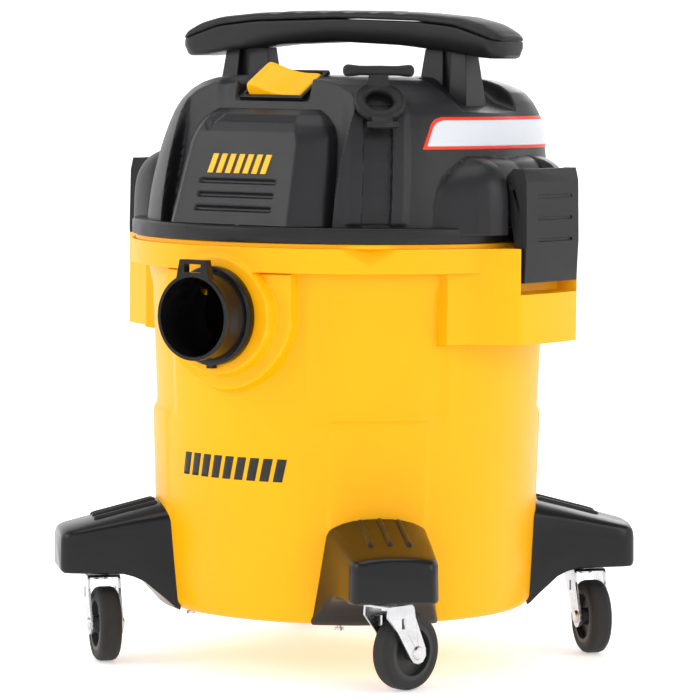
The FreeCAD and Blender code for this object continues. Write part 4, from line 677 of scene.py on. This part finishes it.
# ------------------------------------------------------------------ hose strap
def build_strap():
    a48 = math.radians(45)
    rot = lambda rad, t, z: (rad * math.sin(a48) + t * math.cos(a48), -rad * math.cos(a48) + t * math.sin(a48), z)

    def at(u, v, t):
        """u up the slope, v out of the slope, t across."""
        return rot(SCX + u * SS[0] + v * SN[0], t, SCZ + u * SS[1] + v * SN[1])

    vs, fs = [], []

    def add(v, f):
        b = len(vs)
        vs.extend(v)
        fs.extend([tuple(q + b for q in ff) for ff in f])

    # cross bar with swollen ends
    rings = []
    for t in (-28.2, -27.6, -26.0, -23.5, -20.0, -15.5, -10.0, 0.0, 10.0, 15.5, 20.0, 23.5, 26.0, 27.6, 28.2):
        e = abs(t)
        r = float(np.interp(e, [0, 10, 17, 21, 24.5, 26.5, 27.6, 28.2], [4.0, 3.8, 3.9, 4.6, 4.9, 4.4, 2.9, 0.7]))
        rings.append([at(21.5 + r * math.cos(q), 12.2 + r * math.sin(q), t) for q in np.linspace(0, 2 * math.pi, 18, endpoint=False)])
    add(*loft(rings))
    # tongue from the ring up to the bar
    rings = []
    for u, v, w, h in ((12.5, 0.6, 10.0, 2.4), (14.5, 3.0, 9.2, 2.2), (16.5, 6.6, 8.2, 2.0), (18.5, 9.4, 7.6, 1.9), (20.5, 11.6, 8.2, 2.0), (22.0, 12.8, 8.8, 1.6)):
        rings.append([at(u + q, v + r, t) for t, q, r in ((-w, 0.5, -h), (-w, -0.5, h * 0.6), (-w * 0.8, -1.4, h), (w * 0.8, -1.4, h), (w, -0.5, h * 0.6), (w, 0.5, -h), (w * 0.8, 1.2, -h * 1.1), (-w * 0.8, 1.2, -h * 1.1))])
    add(*loft(rings))
    # tab under the ring, wrapped round its pin
    rings = []
    for u, v, w, h in ((-13.4, 0.3, 8.6, 2.6), (-18, 0.6, 8.4, 2.5), (-22, 0.9, 8.2, 2.9), (-24.6, 0.8, 8.0, 2.4), (-26.6, 0.4, 7.8, 1.0)):
        rings.append([at(u, v + q, t) for t, q in ((-w, -h), (-w, h * 0.7), (-w * 0.85, h), (w * 0.85, h), (w, h * 0.7), (w, -h))])
    add(*loft(rings))
    make("strap_tee", vs, fs, "strap", "soft_black_rubber", ("hose_strap",), sharp=50, bevel=0.25, segs=2, angle=45)
    # finger ring: flattened rubber ring, thicker at the bottom
    rings = []
    for k in range(72):
        q = 2 * math.pi * k / 72
        c, sn_ = math.cos(q), math.sin(q)
        R0 = 14.6 + 0.5 * max(0.0, -sn_)
        wr = 4.6 + 0.5 * max(0.0, -sn_)
        sec = []
        for j in range(16):
            g = 2 * math.pi * j / 16
            cx = abs(math.cos(g)) ** 0.8 * math.copysign(1, math.cos(g)) * wr
            cz = abs(math.sin(g)) ** 0.8 * math.copysign(1, math.sin(g)) * 4.3
            sec.append(at((R0 + cx) * sn_ * 0.98, cz, (R0 + cx) * c * 1.06))
        rings.append(sec)
    v = [p for r in rings for p in r]
    f = quads(72, 16, True).tolist() + [[71 * 16 + j, 71 * 16 + (j + 1) % 16, (j + 1) % 16, j] for j in range(16)]
    make("strap_finger_ring", v, f, "strap", "soft_black_rubber", ("strap_ring",), sharp=60)


build_strap()


# ------------------------------------------------------------------ blank plate with a plain rim
def dome_r(z):
    seg = np.interp(z, [350.3, 356.2, 368, 380, 393, 407, 420.5, 432, 443, 452, 460.3], [163.2, 163.2, 161.9, 160.2, 157.6, 154.2, 150.2, 146.2, 141.5, 136.0, 128.0])
    return seg


def surf(phi, z, off):
    r = float(dome_r(z)) + math.exp(-((abs(phi) - 132) / 24.0) ** 4) * float(np.interp(z, [356, 385, 410, 441, 460, 470], [0, 2.0, 6.5, 12.5, 14, 8]))
    return ((r + off) * math.sin(math.radians(phi)), -(r + off) * math.cos(math.radians(phi)), z)


def build_plate():
    zb, zt_ = 416.3, 441.5
    n, m = 15, 61
    for name, inset, off, mat in (("side_label_rim", 0.0, 0.55, "stripe_red"), ("side_label", 2.6, 0.85, "plate")):
        rows = []
        for i in range(n):
            g = i / (n - 1)
            z = zb + inset + (zt_ - zb - 2 * inset) * g
            lo = float(np.interp(z, [zb, zt_], [57.5, 62.6])) + inset * 0.42
            hi = 126.5 - inset * 0.42
            cr = max(0.0, 1 - min(z - zb - inset, zt_ - inset - z) / 7.0) if z > (zb + zt_) / 2 else max(0.0, 1 - (z - zb - inset) / 3.0) * 0.35
            lo += 3.0 * (1 - math.sqrt(max(0.0, 1 - cr * cr)))
            hi -= 3.0 * (1 - math.sqrt(max(0.0, 1 - cr * cr)))
            rows.append([surf(lo + (hi - lo) * j / (m - 1), z, off) for j in range(m)])
        vs = [p for r in rows for p in r]
        o = make(name, vs, quads(n, m).tolist(), "power_head", mat, ("side_plate",) if inset == 0 else ())
        so = o.modifiers.new("thick", "SOLIDIFY")
        so.thickness, so.offset = 0.0008, -1


build_plate()


# ------------------------------------------------------------------ plain dark band on the tank
def build_band():
    """One row of plain slanted bars, as a printed decal."""
    vs, fs = [], []
    for k in range(9):
        base = len(vs)
        p0 = -20.5 + 4.3 * k
        for i in range(7):
            z = 156.0 + 18.0 * i / 6
            for j in range(4):
                p = p0 + 2.9 * j / 3 + 1.5 * i / 6
                r = float(np.interp(z, [53, 205, 318], [152, 157, 161.5])) + 0.3
                vs.append((r * math.sin(math.radians(p)), -r * math.cos(math.radians(p)), z))
        fs += (quads(7, 4) + base).tolist()
    o = make("tank_band", vs, fs, "tank", "stripe_black")
    so = o.modifiers.new("thick", "SOLIDIFY")
    so.thickness, so.offset = 0.0004, -1


build_band()

for n in NODES:
    if n.startswith("caster_fork"):
        soften(n, 0.6)
    elif n.startswith("caster_hub") or n.startswith("caster_axle"):
        soften(n, 0.35)
    elif n in ("lid_base", "inlet_port", "blower_port", "cord_gland"):
        soften(n, 0.6)
    elif n.startswith("latch_"):
        soften(n, 1.0, 3)
    elif n == "switch_bezel":
        soften(n, 1.2, 3)
